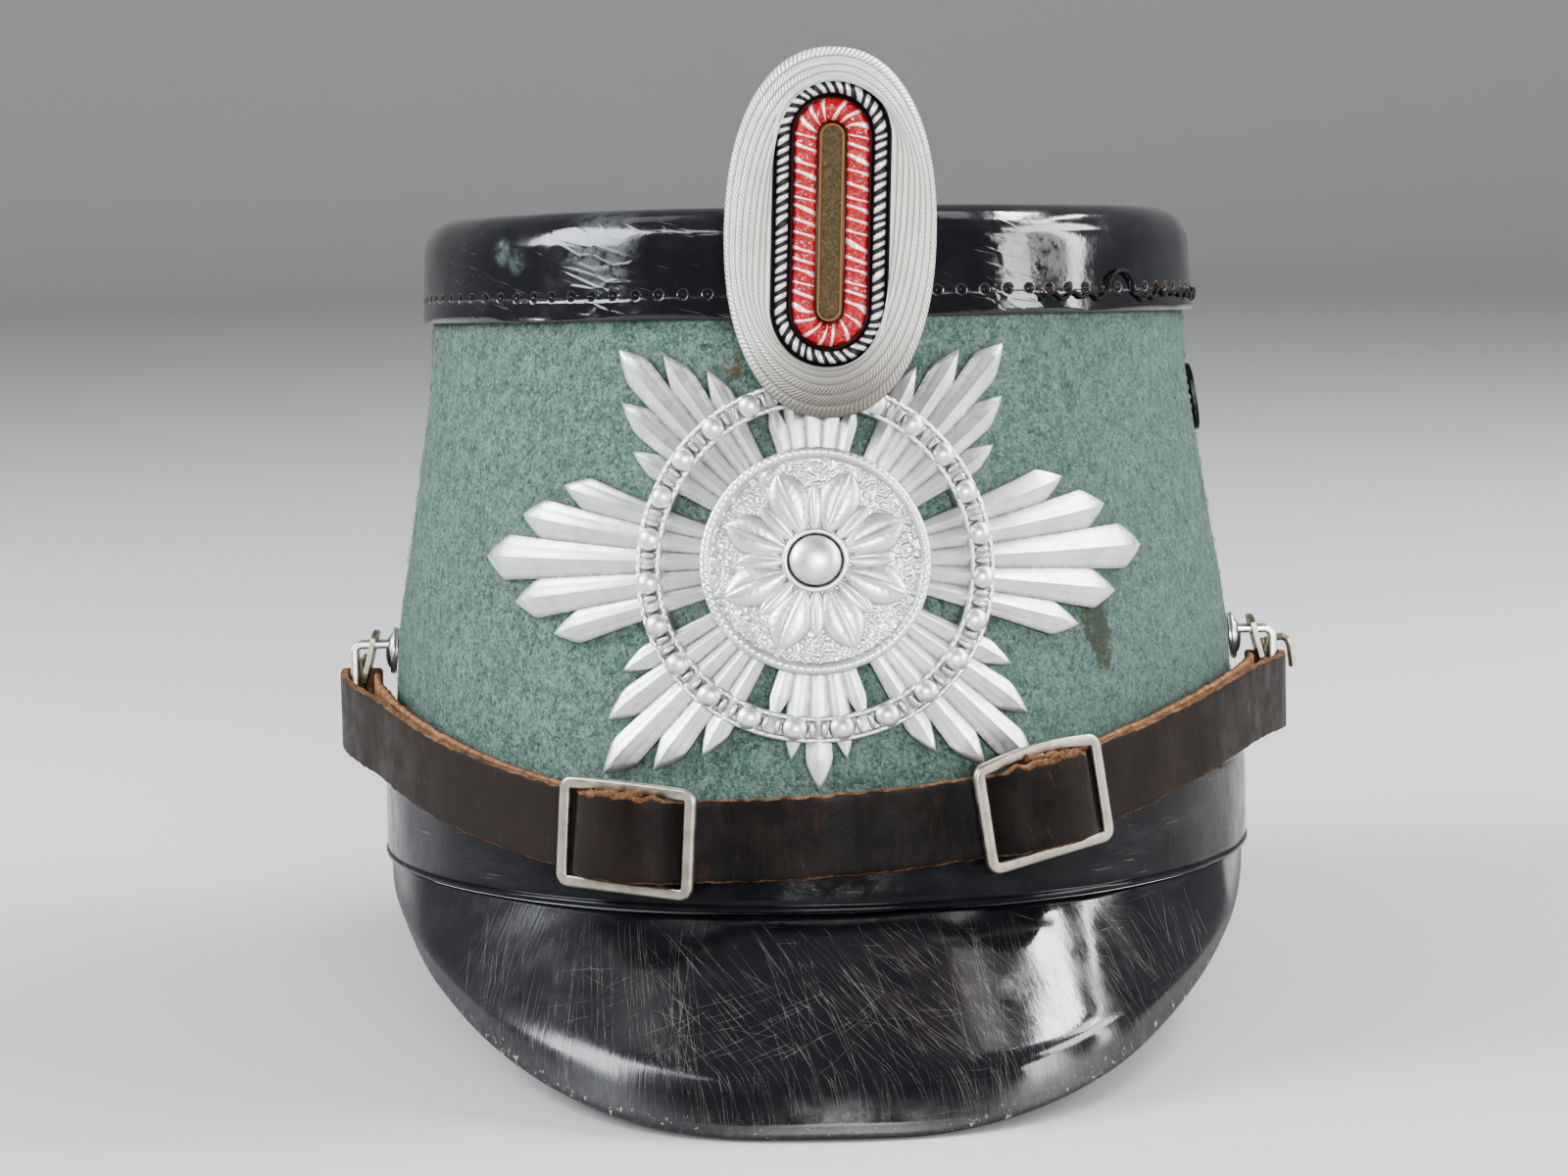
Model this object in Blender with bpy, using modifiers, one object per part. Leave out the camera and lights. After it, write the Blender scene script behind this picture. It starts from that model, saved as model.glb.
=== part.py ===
"""A felt shako with a lacquered cap and peaks, a metal front plate, an oval cockade and a chin strap.

Hat frame, in which every piece is drawn: the origin is the centre of the head opening, level with the
lower edge of the base band; +Z runs up the crown, the front faces -Y and +X is the viewer's right.
At the end the whole hat is leaned back until it stands on the tips of its two peaks.
"""

import math
from collections import namedtuple

import bmesh
import bpy
import numpy as np
from mathutils import Matrix, Vector

MM = 0.001
GAP = 0.3 * MM  # left between two pieces that touch
OVAL_STEPS = 48  # facets round the crown

# Crown: a felt wall, widest at the head and pinched in towards the top.
Section = namedtuple("Section", "height half_width front back")
FELT_SECTIONS = [
    Section(0.5 * MM, 88.0 * MM, 105.0 * MM, 105.0 * MM),
    Section(22.0 * MM, 87.9 * MM, 103.6 * MM, 102.0 * MM),
    Section(46.0 * MM, 86.6 * MM, 100.8 * MM, 97.6 * MM),
    Section(71.0 * MM, 82.6 * MM, 97.3 * MM, 92.0 * MM),
    Section(96.0 * MM, 78.5 * MM, 94.0 * MM, 86.8 * MM),
    Section(123.4 * MM, 77.4 * MM, 92.0 * MM, 84.0 * MM),
]
FELT_WALL = 2.6 * MM

# Lacquered cap that closes the top.
CAP_LOW = 109.6 * MM
CAP_TOP = 130.5 * MM
CAP_WALL = 1.9 * MM
CAP_EDGE_RADIUS = 7.0 * MM
CAP_EDGE_STEPS = 3

# Lacquered band round the head opening.
BAND_HEIGHT = 20.3 * MM
BAND_WALL = 1.7 * MM
BAND_OUTER = GAP + BAND_WALL  # from the felt to the band's outer face

# Peaks. Each free edge lies in a plane, from a corner under the band to the tip. corner_out and tip_out are
# measured from the crown's axis and the drops from the band's lower edge.
PEAK_WALL = 2.0 * MM
PEAK_INSET = 0.7 * MM  # the band's lip stands this far proud of a peak
Peak = namedtuple("Peak", "half_width corner_out tip_out corner_drop tip_drop arch")
FRONT_PEAK = Peak(
    half_width=88.0 * MM,
    corner_out=12.5 * MM,
    tip_out=139.3 * MM,
    corner_drop=2.3 * MM,
    tip_drop=35.6 * MM,
    arch=0.10,
)
REAR_PEAK = Peak(
    half_width=80.0 * MM,
    corner_out=45.0 * MM,
    tip_out=127.0 * MM,
    corner_drop=2.3 * MM,
    tip_drop=18.5 * MM,
    arch=0.08,
)
EDGE_ALONG_POWER = 1.43  # the edge seen from above is a fuller shape than an ellipse at the tip
EDGE_ACROSS_POWER = 0.77  # and a more slanting one at the corners
REST_TURN = 0.11  # radians to each side of the tip in which the edge is worn level

# Chin strap: one strip, folded round a clip at each side and back to a slider.
STRAP_WIDTH = 15.5 * MM
STRAP_THICK = 1.6 * MM
STRAP_LOW = 14.5 * MM  # height of its middle line at the front
STRAP_RISE = 15.5 * MM  # and how much higher it is at the sides
STRAP_SKEW = 2.6 * MM  # halfway back the strap sits this much higher on the right and lower on the left
INNER_RUN = 1.3 * MM  # distance of a run's middle line from the band
OUTER_RUN = 3.6 * MM
FRONT_RUN = 1.6 * MM
FOLD_RADIUS = 3.6 * MM
FOLD_DEPTH = 5.0 * MM  # the fold starts this far in front of the widest place
SPLAY_LENGTH = 42.0 * MM  # over which the outer run swings out to the fold
STRAP_STEP = 8.0 * MM

# Sliders: a flat frame with a middle bar.
SLIDER_WIDTH = 28.4 * MM
SLIDER_HEIGHT = 20.8 * MM
SLIDER_RIM = 2.3 * MM
SLIDER_BAR = 3.0 * MM
SLIDER_THICK = 1.7 * MM
SLIDER_CORNER = 2.0 * MM
SLIDER_OUT = 5.0 * MM  # distance of its middle plane from the band
SLIDER_PLACES = {"left": -35.0 * MM, "right": 41.0 * MM}  # along the strap, from the front

# Side hooks and the strap's clips. A hook's arm leaves its rosette level and turns down at its end.
HOOK_HEIGHT = 41.5 * MM
HOOK_BACK = -8.0 * MM
ROSETTE_RADIUS = 4.9 * MM
ROSETTE_THICK = 2.5 * MM
ROSETTE_TAPER = 0.86  # its front's radius as a share of its back's
ROSETTE_STEPS = 20
HOOK_ARM_TOP = 43.8 * MM
HOOK_ARM_THICK = 1.6 * MM
HOOK_ARM_WIDTH = 5.0 * MM
HOOK_BEND_RADIUS = 2.6 * MM
HOOK_REACH = 96.6 * MM
HOOK_LOW = 31.5 * MM
CLIP_PLATE = (1.0 * MM, 9.0 * MM, 11.0 * MM)  # thick, wide, high
CLIP_PLATE_CORNER = 2.2 * MM
CLIP_SLOT_SPARE = 0.8 * MM  # the slot is this much wider and higher than the hook's arm
CLIP_PLACE = (92.5 * MM, 40.2 * MM)  # its middle, out from the axis and up
CLIP_LEAN = math.radians(-14)
CLIP_WIRE_RADIUS = 0.95 * MM
CLIP_WIRE_TOP = CLIP_PLACE[1] - 0.6 * MM

# A clip's wires, drawn for the right side. A point's place is measured out from the plate, from the bar that
# stands in the strap's fold or from the strap's outer face, back from the same, and up from the wire's top.
WirePoint = namedtuple("WirePoint", "out back up")
LEG_ON_PLATE = [
    WirePoint(0.9 * MM, 1.4 * MM, -2.0 * MM),
    WirePoint(1.3 * MM, 2.6 * MM, -0.8 * MM),
]
LEG_TO_BAR = [
    WirePoint(-1.0 * MM, -0.5 * MM, 0.0),
    WirePoint(-0.2 * MM, 0.0, -0.7 * MM),
    WirePoint(0.0, 0.0, -2.0 * MM),
]
SPRING_FROM_BAR = [
    WirePoint(-0.6 * MM, -0.2 * MM, -0.4 * MM),
    WirePoint(1.0 * MM, 0.0, 0.5 * MM),
]
SPRING_OUTSIDE = [
    WirePoint(0.1 * MM, 0.0, 0.9 * MM),
    WirePoint(1.2 * MM, 0.0, 0.3 * MM),
    WirePoint(1.8 * MM, 0.0, -1.2 * MM),
    WirePoint(2.3 * MM, 0.0, -5.4 * MM),
]

# Side vents.
VENT_HEIGHT = 91.0 * MM
VENT_ANGLES = {"left": -106, "right": 92}  # degrees round from the front
VENT_SIZE = (18.0 * MM, 14.0 * MM)
VENT_CORNER = 5.5 * MM
VENT_THICK = 0.9 * MM
VENT_OUT = GAP + 0.2 * MM  # from the felt to its back
VENT_SLOTS = 5
VENT_PITCH = 2.0 * MM
VENT_SLOT = (12.5 * MM, 1.1 * MM)  # the middle slot, and the others are shorter
VENT_SLOT_TAPER = 0.6

# Front plate, drawn flat about its centre and then bent round the crown. Heights are from its back.
PLATE_MIDDLE = 64.5 * MM
PLATE_OUT = 0.7 * MM  # from the felt to its back
PLATE_FOOT = 0.04 * MM  # the disc's back is lower and the ring's higher than the rays', so none is level
RAY_GROUPS = 8
RAYS_IN_GROUP = 5
RAY_SPACING = math.radians(7.6)
RAY_LEVEL = 72.0 * MM  # reach of the level, upright and slanting groups
RAY_UPRIGHT = 42.5 * MM
RAY_SLANT = 56.0 * MM
RAY_SHORTER = 0.13  # each ray is this much shorter than the one inside it
RAY_POINT = 5.5 * MM  # length of a ray's pointed end
RAY_ROOT = 17.0 * MM
RAY_VALLEY_HIGH = 0.9 * MM
RAY_ROOT_HIGH = 1.6 * MM
RAY_CREST_HIGH = 2.6 * MM
RING_RADIUS = 31.0 * MM
RING_WIDTH = 5.0 * MM
RING_HIGH = 2.5 * MM
RING_STEPS = 24
BEADS = 24
BEAD_RADIUS = 2.4 * MM
BEAD_SINK = 0.35 * BEAD_RADIUS  # of its middle below the ring's top
BEAD_STEPS = (6, 4)  # round and from pole to pole
BEAD_TURN = 0.1  # radians, so that no facet lies along the ring's
DISC_RADIUS = 21.0 * MM
DISC_RIM = 2.0 * MM
DISC_RIM_HIGH = 3.2 * MM
DISC_HIGH = 2.1 * MM
DISC_STEPS = 24
BOSS_RADIUS = 6.0 * MM
BOSS_HIGH = 5.4 * MM
PETALS = 8
PETAL_ROOT = 4.6 * MM
PETAL_LENGTH = 13.0 * MM
PETAL_WIDTH = 7.6 * MM
PETAL_WIDEST = 0.62  # share of its length
PETAL_SINK = 0.4 * MM  # below the disc's face
PETAL_EDGE = 0.25 * MM  # its edge and its middle stand this far above the disc's face
PETAL_CREST = 1.5 * MM
DomePoint = namedtuple("DomePoint", "radius height")  # shares of the boss's
BOSS_DOME = [DomePoint(0.0, 1.0), DomePoint(0.55, 0.82), DomePoint(0.88, 0.42), DomePoint(1.0, 0.0)]
BEND_STEP = 16.0 * MM

# Cockade: an oval dish, wide at the middle, with two cord rings round a slot-shaped centre.
COCKADE_HALF = (19.6 * MM, 34.1 * MM)
COCKADE_POWER = 2.25
COCKADE_PLACE = (3.8 * MM, -99.3 * MM, 125.2 * MM)  # middle of its back
COCKADE_TURN = math.radians(2.1)
COCKADE_STRAIGHT = 15.8 * MM  # half the straight side of the rings
COCKADE_FLOOR = 1.2 * MM
RimStep = namedtuple("RimStep", "inward height")  # inward from the oval at 0 to the rings' well at 1
COCKADE_DISH = [
    RimStep(0.03, 0.0),
    RimStep(0.0, 0.9 * MM),
    RimStep(0.08, 2.1 * MM),
    RimStep(0.35, 3.6 * MM),
    RimStep(0.7, 4.4 * MM),
    RimStep(1.0, 4.5 * MM),
]
Cord = namedtuple("Cord", "inner outer top")  # radii of its round ends, and its height
BLACK_CORD = Cord(7.35 * MM, 10.55 * MM, 5.0 * MM)
RED_CORD = Cord(2.65 * MM, 7.05 * MM, 5.6 * MM)
CENTRE_RADIUS = 2.35 * MM
CENTRE_TOP = 3.6 * MM
COCKADE_STEPS = 36
CORD_STEPS = 3
PRONG_WIDTH = 9.0 * MM
PRONG_HEIGHT = 15.0 * MM
PRONG_MIDDLE = 118.0 * MM
PRONG_EDGE = 0.4 * MM

Look = namedtuple("Look", "colour roughness metallic")
LOOKS = {
    "felt": Look((0.105, 0.175, 0.155), 0.95, 0.0),
    "lacquer": Look((0.012, 0.013, 0.016), 0.18, 0.0),
    "peak_lacquer": Look((0.014, 0.014, 0.016), 0.25, 0.0),
    "strap_leather": Look((0.045, 0.027, 0.020), 0.55, 0.0),
    "buckle_metal": Look((0.62, 0.59, 0.53), 0.38, 1.0),
    "hook_metal": Look((0.70, 0.70, 0.69), 0.32, 1.0),
    "clip_metal": Look((0.33, 0.31, 0.24), 0.42, 1.0),
    "plate_metal": Look((0.74, 0.74, 0.74), 0.36, 1.0),
    "silver_cord": Look((0.76, 0.76, 0.73), 0.34, 1.0),
    "black_cord": Look((0.03, 0.03, 0.035), 0.45, 0.0),
    "red_cord": Look((0.55, 0.03, 0.035), 0.45, 0.0),
    "gold_centre": Look((0.17, 0.115, 0.045), 0.70, 0.3),
    "vent_metal": Look((0.02, 0.024, 0.022), 0.50, 0.4),
}


# ---------------------------------------------------------------- scene and mesh helpers


def clear_scene():
    for obj in list(bpy.data.objects):
        bpy.data.objects.remove(obj)


def material(name):
    found = bpy.data.materials.get(name)
    if found:
        return found
    look = LOOKS[name]
    made = bpy.data.materials.new(name)
    made.use_nodes = True
    shader = made.node_tree.nodes["Principled BSDF"]
    shader.inputs["Base Color"].default_value = (*look.colour, 1.0)
    shader.inputs["Roughness"].default_value = look.roughness
    shader.inputs["Metallic"].default_value = look.metallic
    return made


def add_object(name, mesh, look):
    mesh.materials.clear()
    mesh.materials.append(material(look))
    obj = bpy.data.objects.new(name, mesh)
    hat_collection.objects.link(obj)
    return obj


def mesh_of(name, shape):
    """A mesh data block from a bmesh, which is freed."""
    bmesh.ops.recalc_face_normals(shape, faces=shape.faces)
    mesh = bpy.data.meshes.new(name)
    shape.to_mesh(mesh)
    shape.free()
    return mesh


def loft(rings, closed):
    """An open surface through rings of points with the same count, each ring closed or not."""
    shape = bmesh.new()
    rows = [[shape.verts.new(point) for point in ring] for ring in rings]
    count = len(rows[0])
    for low, high in zip(rows, rows[1:]):
        for i in range(count if closed else count - 1):
            j = (i + 1) % count
            shape.faces.new((low[i], low[j], high[j], high[i]))
    return shape, rows


def solidify(obj, thickness, offset=-1.0):
    wall = obj.modifiers.new("wall", "SOLIDIFY")
    wall.thickness = thickness
    wall.offset = offset
    wall.use_even_offset = True
    return obj


def smooth(obj, angle=40):
    obj.data.shade_smooth()
    obj.data.set_sharp_from_angle(angle=math.radians(angle))
    return obj


def point_faces_out(shape, inside):
    """Turns an open surface's faces to look away from a point inside it."""
    total = sum(
        face.normal.dot(face.calc_center_median() - inside) * face.calc_area()
        for face in shape.faces
    )
    if total < 0:
        bmesh.ops.reverse_faces(shape, faces=shape.faces)


def shell(name, shape, look, thickness, inside=Vector((0, 0, 0.05))):
    """A solid wall whose outer face is the open surface."""
    bmesh.ops.recalc_face_normals(shape, faces=shape.faces)
    point_faces_out(shape, inside)
    mesh = bpy.data.meshes.new(name)
    shape.to_mesh(mesh)
    shape.free()
    return smooth(solidify(add_object(name, mesh, look), thickness))


def evaluated(obj):
    """A new mesh of the object as its modifiers leave it, with doubled points welded."""
    graph = bpy.context.evaluated_depsgraph_get()
    mesh = bpy.data.meshes.new_from_object(obj.evaluated_get(graph))
    shape = bmesh.new()
    shape.from_mesh(mesh)
    bmesh.ops.remove_doubles(shape, verts=shape.verts, dist=0.01 * MM)
    shape.to_mesh(mesh)
    shape.free()
    return mesh


def flat_outline(name, outlines, thickness, look):
    """A flat plate from closed outlines in its own XY plane. The outlines after the first are holes."""
    data = bpy.data.curves.new(name, "CURVE")
    data.dimensions = "2D"
    data.fill_mode = "BOTH"
    data.extrude = thickness / 2
    for outline in outlines:
        spline = data.splines.new("POLY")
        spline.points.add(len(outline) - 1)
        for point, (x, y) in zip(spline.points, outline):
            point.co = (x, y, 0, 1)
        spline.use_cyclic_u = True
    guide = bpy.data.objects.new(name + "_outline", data)
    hat_collection.objects.link(guide)
    bpy.context.view_layer.update()
    mesh = evaluated(guide)
    bpy.data.objects.remove(guide)
    return add_object(name, mesh, look)


def wire(name, points, radius, look):
    """A round wire through the points, as a closed mesh."""
    data = bpy.data.curves.new(name, "CURVE")
    data.dimensions = "3D"
    data.bevel_depth = radius
    data.bevel_resolution = 1
    data.use_fill_caps = True
    spline = data.splines.new("POLY")
    spline.points.add(len(points) - 1)
    for place, point in zip(spline.points, points):
        place.co = (*point, 1)
    guide = bpy.data.objects.new(name + "_line", data)
    hat_collection.objects.link(guide)
    bpy.context.view_layer.update()
    mesh = evaluated(guide)
    bpy.data.objects.remove(guide)
    return add_object(name, mesh, look)


def unite(obj, others):
    """Fuses the others into obj, which keeps its name."""
    for other in others:
        joined = obj.modifiers.new("join", "BOOLEAN")
        joined.operation = "UNION"
        joined.solver = "EXACT"
        joined.object = other
    bpy.context.view_layer.update()
    obj.data = evaluated(obj)
    obj.modifiers.clear()
    for other in others:
        bpy.data.objects.remove(other)
    return obj


def bevel(obj, width, segments=2, angle=40):
    edges = obj.modifiers.new("edges", "BEVEL")
    edges.width = width
    edges.segments = segments
    edges.limit_method = "ANGLE"
    edges.angle_limit = math.radians(angle)
    return obj


def rounded_rectangle(width, height, radius, centre=(0.0, 0.0), corner_steps=4):
    points = []
    for quarter, (sx, sy) in enumerate(((1, 1), (-1, 1), (-1, -1), (1, -1))):
        cx = centre[0] + sx * (width / 2 - radius)
        cy = centre[1] + sy * (height / 2 - radius)
        for step in range(corner_steps + 1):
            turn = math.radians(90 * (quarter + step / corner_steps))
            points.append((cx + radius * math.cos(turn), cy + radius * math.sin(turn)))
    return points


def smooth_path(points, step):
    """Points along straight stretches, none further apart than step."""
    path = [points[0]]
    for start, end in zip(points, points[1:]):
        pieces = max(1, math.ceil(math.dist(start, end) / step))
        for i in range(1, pieces + 1):
            path.append(tuple(a + (b - a) * i / pieces for a, b in zip(start, end)))
    return path


# ---------------------------------------------------------------- the crown's surface


def section_at(height):
    """The felt's outer oval at a height, between the rows of the table."""
    heights = [row.height for row in FELT_SECTIONS]
    columns = zip(*FELT_SECTIONS)
    return Section(*(float(np.interp(height, heights, column)) for column in columns))


def oval_point(section, angle, out=0.0):
    """A point on an oval grown by out. Angle 0 is the front and 90 degrees the viewer's right."""
    reach = section.front if math.cos(angle) > 0 else section.back
    return Vector(
        ((section.half_width + out) * math.sin(angle), -(reach + out) * math.cos(angle))
    )


def oval_ring(section, out=0.0, height=None):
    level = section.height if height is None else height
    turns = (2 * math.pi * i / OVAL_STEPS for i in range(OVAL_STEPS))
    return [(*oval_point(section, turn, out), level) for turn in turns]


def crown_frame(angle, height, out=0.0):
    """A point that stands out from the felt, with the surface's sideways, upward and outward directions."""
    reach = 8 * MM

    def at(turn, level):
        return Vector((*oval_point(section_at(level), turn), level))

    side = (at(angle + 0.02, height) - at(angle - 0.02, height)).normalized()
    up = (at(angle, height + reach) - at(angle, height - reach)).normalized()
    outward = side.cross(up).normalized()
    up = outward.cross(side)
    return at(angle, height) + outward * out, side, up, outward


def frame_matrix(origin, side, up, outward):
    """Places a piece drawn in XY, facing +Z, with its X along side and its Y along up."""
    turned = Matrix((side, up, outward)).transposed().to_4x4()
    return Matrix.Translation(origin) @ turned


def make_felt_crown():
    rings = [oval_ring(section) for section in FELT_SECTIONS]
    shape, _ = loft(rings, closed=True)
    return shell("felt_crown", shape, "felt", FELT_WALL)


def make_top_cap():
    """The cap's side, its rounded edge and its flat deck, as one skin with a wall inside it."""
    wall_out = GAP + CAP_WALL
    top = section_at(CAP_TOP)
    rings = [
        oval_ring(section_at(level), wall_out, level)
        for level in (CAP_LOW, CAP_TOP - CAP_EDGE_RADIUS)
    ]
    for step in range(1, CAP_EDGE_STEPS + 1):
        turn = math.radians(90 * step / CAP_EDGE_STEPS)
        inset = CAP_EDGE_RADIUS * (1 - math.cos(turn))
        level = CAP_TOP - CAP_EDGE_RADIUS * (1 - math.sin(turn))
        rings.append(oval_ring(top, wall_out - inset, level))
    shape, rows = loft(rings, closed=True)
    shape.faces.new(rows[-1])
    return shell("top_cap", shape, "lacquer", CAP_WALL)


def make_base_band():
    rings = [oval_ring(section_at(level), BAND_OUTER, level) for level in (0.0, BAND_HEIGHT)]
    shape, _ = loft(rings, closed=True)
    return shell("base_band", shape, "lacquer", BAND_WALL)


# ---------------------------------------------------------------- peaks


def peak_edge(peak, turn, facing):
    """The free edge. turn runs from -90 degrees at one corner to +90 at the other."""
    along = max(math.cos(turn), 0.0) ** EDGE_ALONG_POWER
    along_worn = max(math.cos(max(abs(turn), REST_TURN)), 0.0) ** EDGE_ALONG_POWER
    across = math.copysign(abs(math.sin(turn)) ** EDGE_ACROSS_POWER, turn)
    return Vector(
        (
            peak.half_width * across,
            facing * (peak.corner_out + (peak.tip_out - peak.corner_out) * along),
            -peak.corner_drop - (peak.tip_drop - peak.corner_drop) * along_worn,
        )
    )


def make_peak(name, peak, facing, columns, rows):
    """A peak arched between the band and its free edge. facing is -1 at the front and 1 at the rear."""
    base = section_at(0.0)
    half_width = base.half_width + BAND_OUTER - PEAK_INSET
    half_length = base.front + BAND_OUTER - PEAK_INSET
    lines = []
    for i in range(columns + 1):
        end = peak_edge(peak, math.pi * (i / columns - 0.5), facing)
        angle = math.atan2(end.x / half_width, -end.y / half_length)
        start = Vector((*oval_point(base, angle, BAND_OUTER - PEAK_INSET), -GAP))
        chord = end - start
        outward = Vector((start.x / half_width**2, start.y / half_length**2, 0)).normalized()
        rise = outward + Vector((0, 0, 1))
        lift = (rise - chord * rise.dot(chord) / chord.length_squared).normalized()
        line = []
        for j in range(rows + 1):
            along = j / rows
            arch = peak.arch * chord.length * math.sin(math.pi * along**1.6)
            line.append(start + chord * along + lift * arch)
        lines.append(line)
    shape, _ = loft(list(zip(*lines)), closed=False)
    inside = Vector((0, 0, -0.06))
    return shell(name, shape, "peak_lacquer", PEAK_WALL, inside)


# ---------------------------------------------------------------- strap line


def strap_line_table():
    """Arc length along the band's outer oval at a fine row of angles, from rear left to rear right."""
    base = section_at(0.0)
    turns = np.radians(np.linspace(-120, 120, 961))
    points = [oval_point(base, turn, BAND_OUTER) for turn in turns]
    steps = [(b - a).length for a, b in zip(points, points[1:])]
    lengths = np.concatenate(([0.0], np.cumsum(steps)))
    return turns, lengths - np.interp(0.0, turns, lengths)


STRAP_TURNS, STRAP_LENGTHS = strap_line_table()
FOLD_ANGLE = math.acos(FOLD_DEPTH / (section_at(0.0).front + BAND_OUTER))
FOLD_PLACE = float(np.interp(FOLD_ANGLE, STRAP_TURNS, STRAP_LENGTHS))


def strap_height(place):
    """Height of the strap's middle line at a distance along it from the front."""
    angle = float(np.interp(place, STRAP_LENGTHS, STRAP_TURNS))
    angle = max(-FOLD_ANGLE, min(FOLD_ANGLE, angle))
    share = abs(angle) / math.radians(90)
    rise = share**3 * (6 * share**2 - 15 * share + 10)
    return STRAP_LOW + STRAP_RISE * rise + STRAP_SKEW * math.sin(2 * angle)


def strap_frame(place, out):
    """A point of the strap with its forward, across and outward directions."""
    base = section_at(0.0)
    angle = float(np.interp(place, STRAP_LENGTHS, STRAP_TURNS))
    a = base.half_width + BAND_OUTER
    b = base.front + BAND_OUTER
    forward = Vector((a * math.cos(angle), b * math.sin(angle), 0)).normalized()
    outward = Vector((forward.y, -forward.x, 0))
    step = 2 * MM
    slope = math.atan2(strap_height(place + step) - strap_height(place - step), 2 * step)
    up = Vector((0, 0, 1))
    across = up * math.cos(slope) - forward * math.sin(slope)
    along = forward * math.cos(slope) + up * math.sin(slope)
    point = Vector((*oval_point(base, angle, BAND_OUTER), 0)) + outward * out
    point.z = strap_height(place)
    return point, along, across, outward


# The strap's route past a slider, from the middle of the slider: how far along towards the fold, and how
# far out from the band. One end is wrapped round the middle bar, and the outer run arches over it.
RoutePoint = namedtuple("RoutePoint", "toward_fold out")
TAIL_ROUTE = [
    RoutePoint(4.9 * MM, 6.1 * MM),
    RoutePoint(2.4 * MM, 6.9 * MM),
]
INNER_ROUTE = [
    RoutePoint(1.5 * MM, 2.9 * MM),
    RoutePoint(5.0 * MM, 2.1 * MM),
    RoutePoint(8.5 * MM, 1.5 * MM),
    RoutePoint(13.0 * MM, INNER_RUN),
]
ARCH_ROUTE = [
    RoutePoint(18.0 * MM, OUTER_RUN),
    RoutePoint(14.2 * MM, 3.6 * MM),
    RoutePoint(11.2 * MM, 3.7 * MM),
    RoutePoint(9.6 * MM, 5.2 * MM),
    RoutePoint(8.3 * MM, 7.0 * MM),
    RoutePoint(6.3 * MM, 8.4 * MM),
    RoutePoint(3.4 * MM, 9.1 * MM),
    RoutePoint(0.0 * MM, 9.2 * MM),
    RoutePoint(-3.2 * MM, 8.9 * MM),
    RoutePoint(-6.0 * MM, 7.9 * MM),
    RoutePoint(-8.2 * MM, 6.3 * MM),
    RoutePoint(-9.8 * MM, 4.6 * MM),
    RoutePoint(-11.6 * MM, 3.4 * MM),
    RoutePoint(-14.4 * MM, 2.6 * MM),
    RoutePoint(-19.0 * MM, FRONT_RUN),
]


def wrap_route():
    """From the strap's end over the bar, round its two edges and back under it."""
    clear = STRAP_THICK / 2 + 1.1 * GAP
    route = list(TAIL_ROUTE)
    for edge, first in ((SLIDER_THICK / 2, 90), (-SLIDER_THICK / 2, 180)):
        for step in range(4):
            turn = math.radians(first + 30 * step)
            along = -SLIDER_BAR / 2 + clear * math.cos(turn)
            route.append(RoutePoint(along, SLIDER_OUT + edge + clear * math.sin(turn)))
    return route + INNER_ROUTE


def strap_half(side):
    """The strap's route on one side, from its end at the slider, round the fold, to past the slider again."""
    sign = -1 if side == "left" else 1
    slider = abs(SLIDER_PLACES[side])
    route = [(slider + point.toward_fold, point.out) for point in wrap_route()]
    middle = INNER_RUN + FOLD_RADIUS
    fold = []
    for step in range(9):
        turn = math.radians(180 * step / 8)
        place = FOLD_PLACE + FOLD_RADIUS * math.sin(turn)
        fold.append((place, middle - FOLD_RADIUS * math.cos(turn)))
    route += fold
    start = FOLD_PLACE - SPLAY_LENGTH
    for step in range(1, 6):
        share = 1 - step / 5
        spread = share**2 * (3 - 2 * share)
        out = OUTER_RUN + (INNER_RUN + 2 * FOLD_RADIUS - OUTER_RUN) * spread
        route.append((start + SPLAY_LENGTH * share, out))
    route += [(slider + point.toward_fold, point.out) for point in ARCH_ROUTE]
    return [(sign * place, out) for place, out in smooth_path(route, STRAP_STEP)]


def make_chin_strap():
    left = strap_half("left")
    right = strap_half("right")
    middle = smooth_path([left[-1], right[-1]], STRAP_STEP)[1:-1]
    rings = []
    for place, out in left + middle + right[::-1]:
        point, _, across, _ = strap_frame(place, out)
        rings.append((point - across * STRAP_WIDTH / 2, point + across * STRAP_WIDTH / 2))
    shape, _ = loft(rings, closed=False)
    mesh = bpy.data.meshes.new("chin_strap")
    shape.to_mesh(mesh)
    shape.free()
    strap = solidify(add_object("chin_strap", mesh, "strap_leather"), STRAP_THICK, 0.0)
    return smooth(strap)


def make_slider(side):
    """A flat frame with two slots, lying across the strap."""
    inner_high = SLIDER_HEIGHT - 2 * SLIDER_RIM
    slot = (SLIDER_WIDTH - 2 * SLIDER_RIM - SLIDER_BAR) / 2
    slot_middle = (SLIDER_BAR + slot) / 2
    outlines = [rounded_rectangle(SLIDER_WIDTH, SLIDER_HEIGHT, SLIDER_CORNER)]
    for sign in (-1, 1):
        centre = (sign * slot_middle, 0)
        outlines.append(rounded_rectangle(slot, inner_high, 0.5 * MM, centre, 1))
    slider = flat_outline(side + "_slider", outlines, SLIDER_THICK, "buckle_metal")
    point, along, across, outward = strap_frame(SLIDER_PLACES[side], SLIDER_OUT)
    slider.matrix_world = frame_matrix(point, along, across, outward)
    return slider


# ---------------------------------------------------------------- side hooks, clips and vents


def hook_angle():
    return math.acos(-HOOK_BACK / section_at(HOOK_HEIGHT).front)


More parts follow.
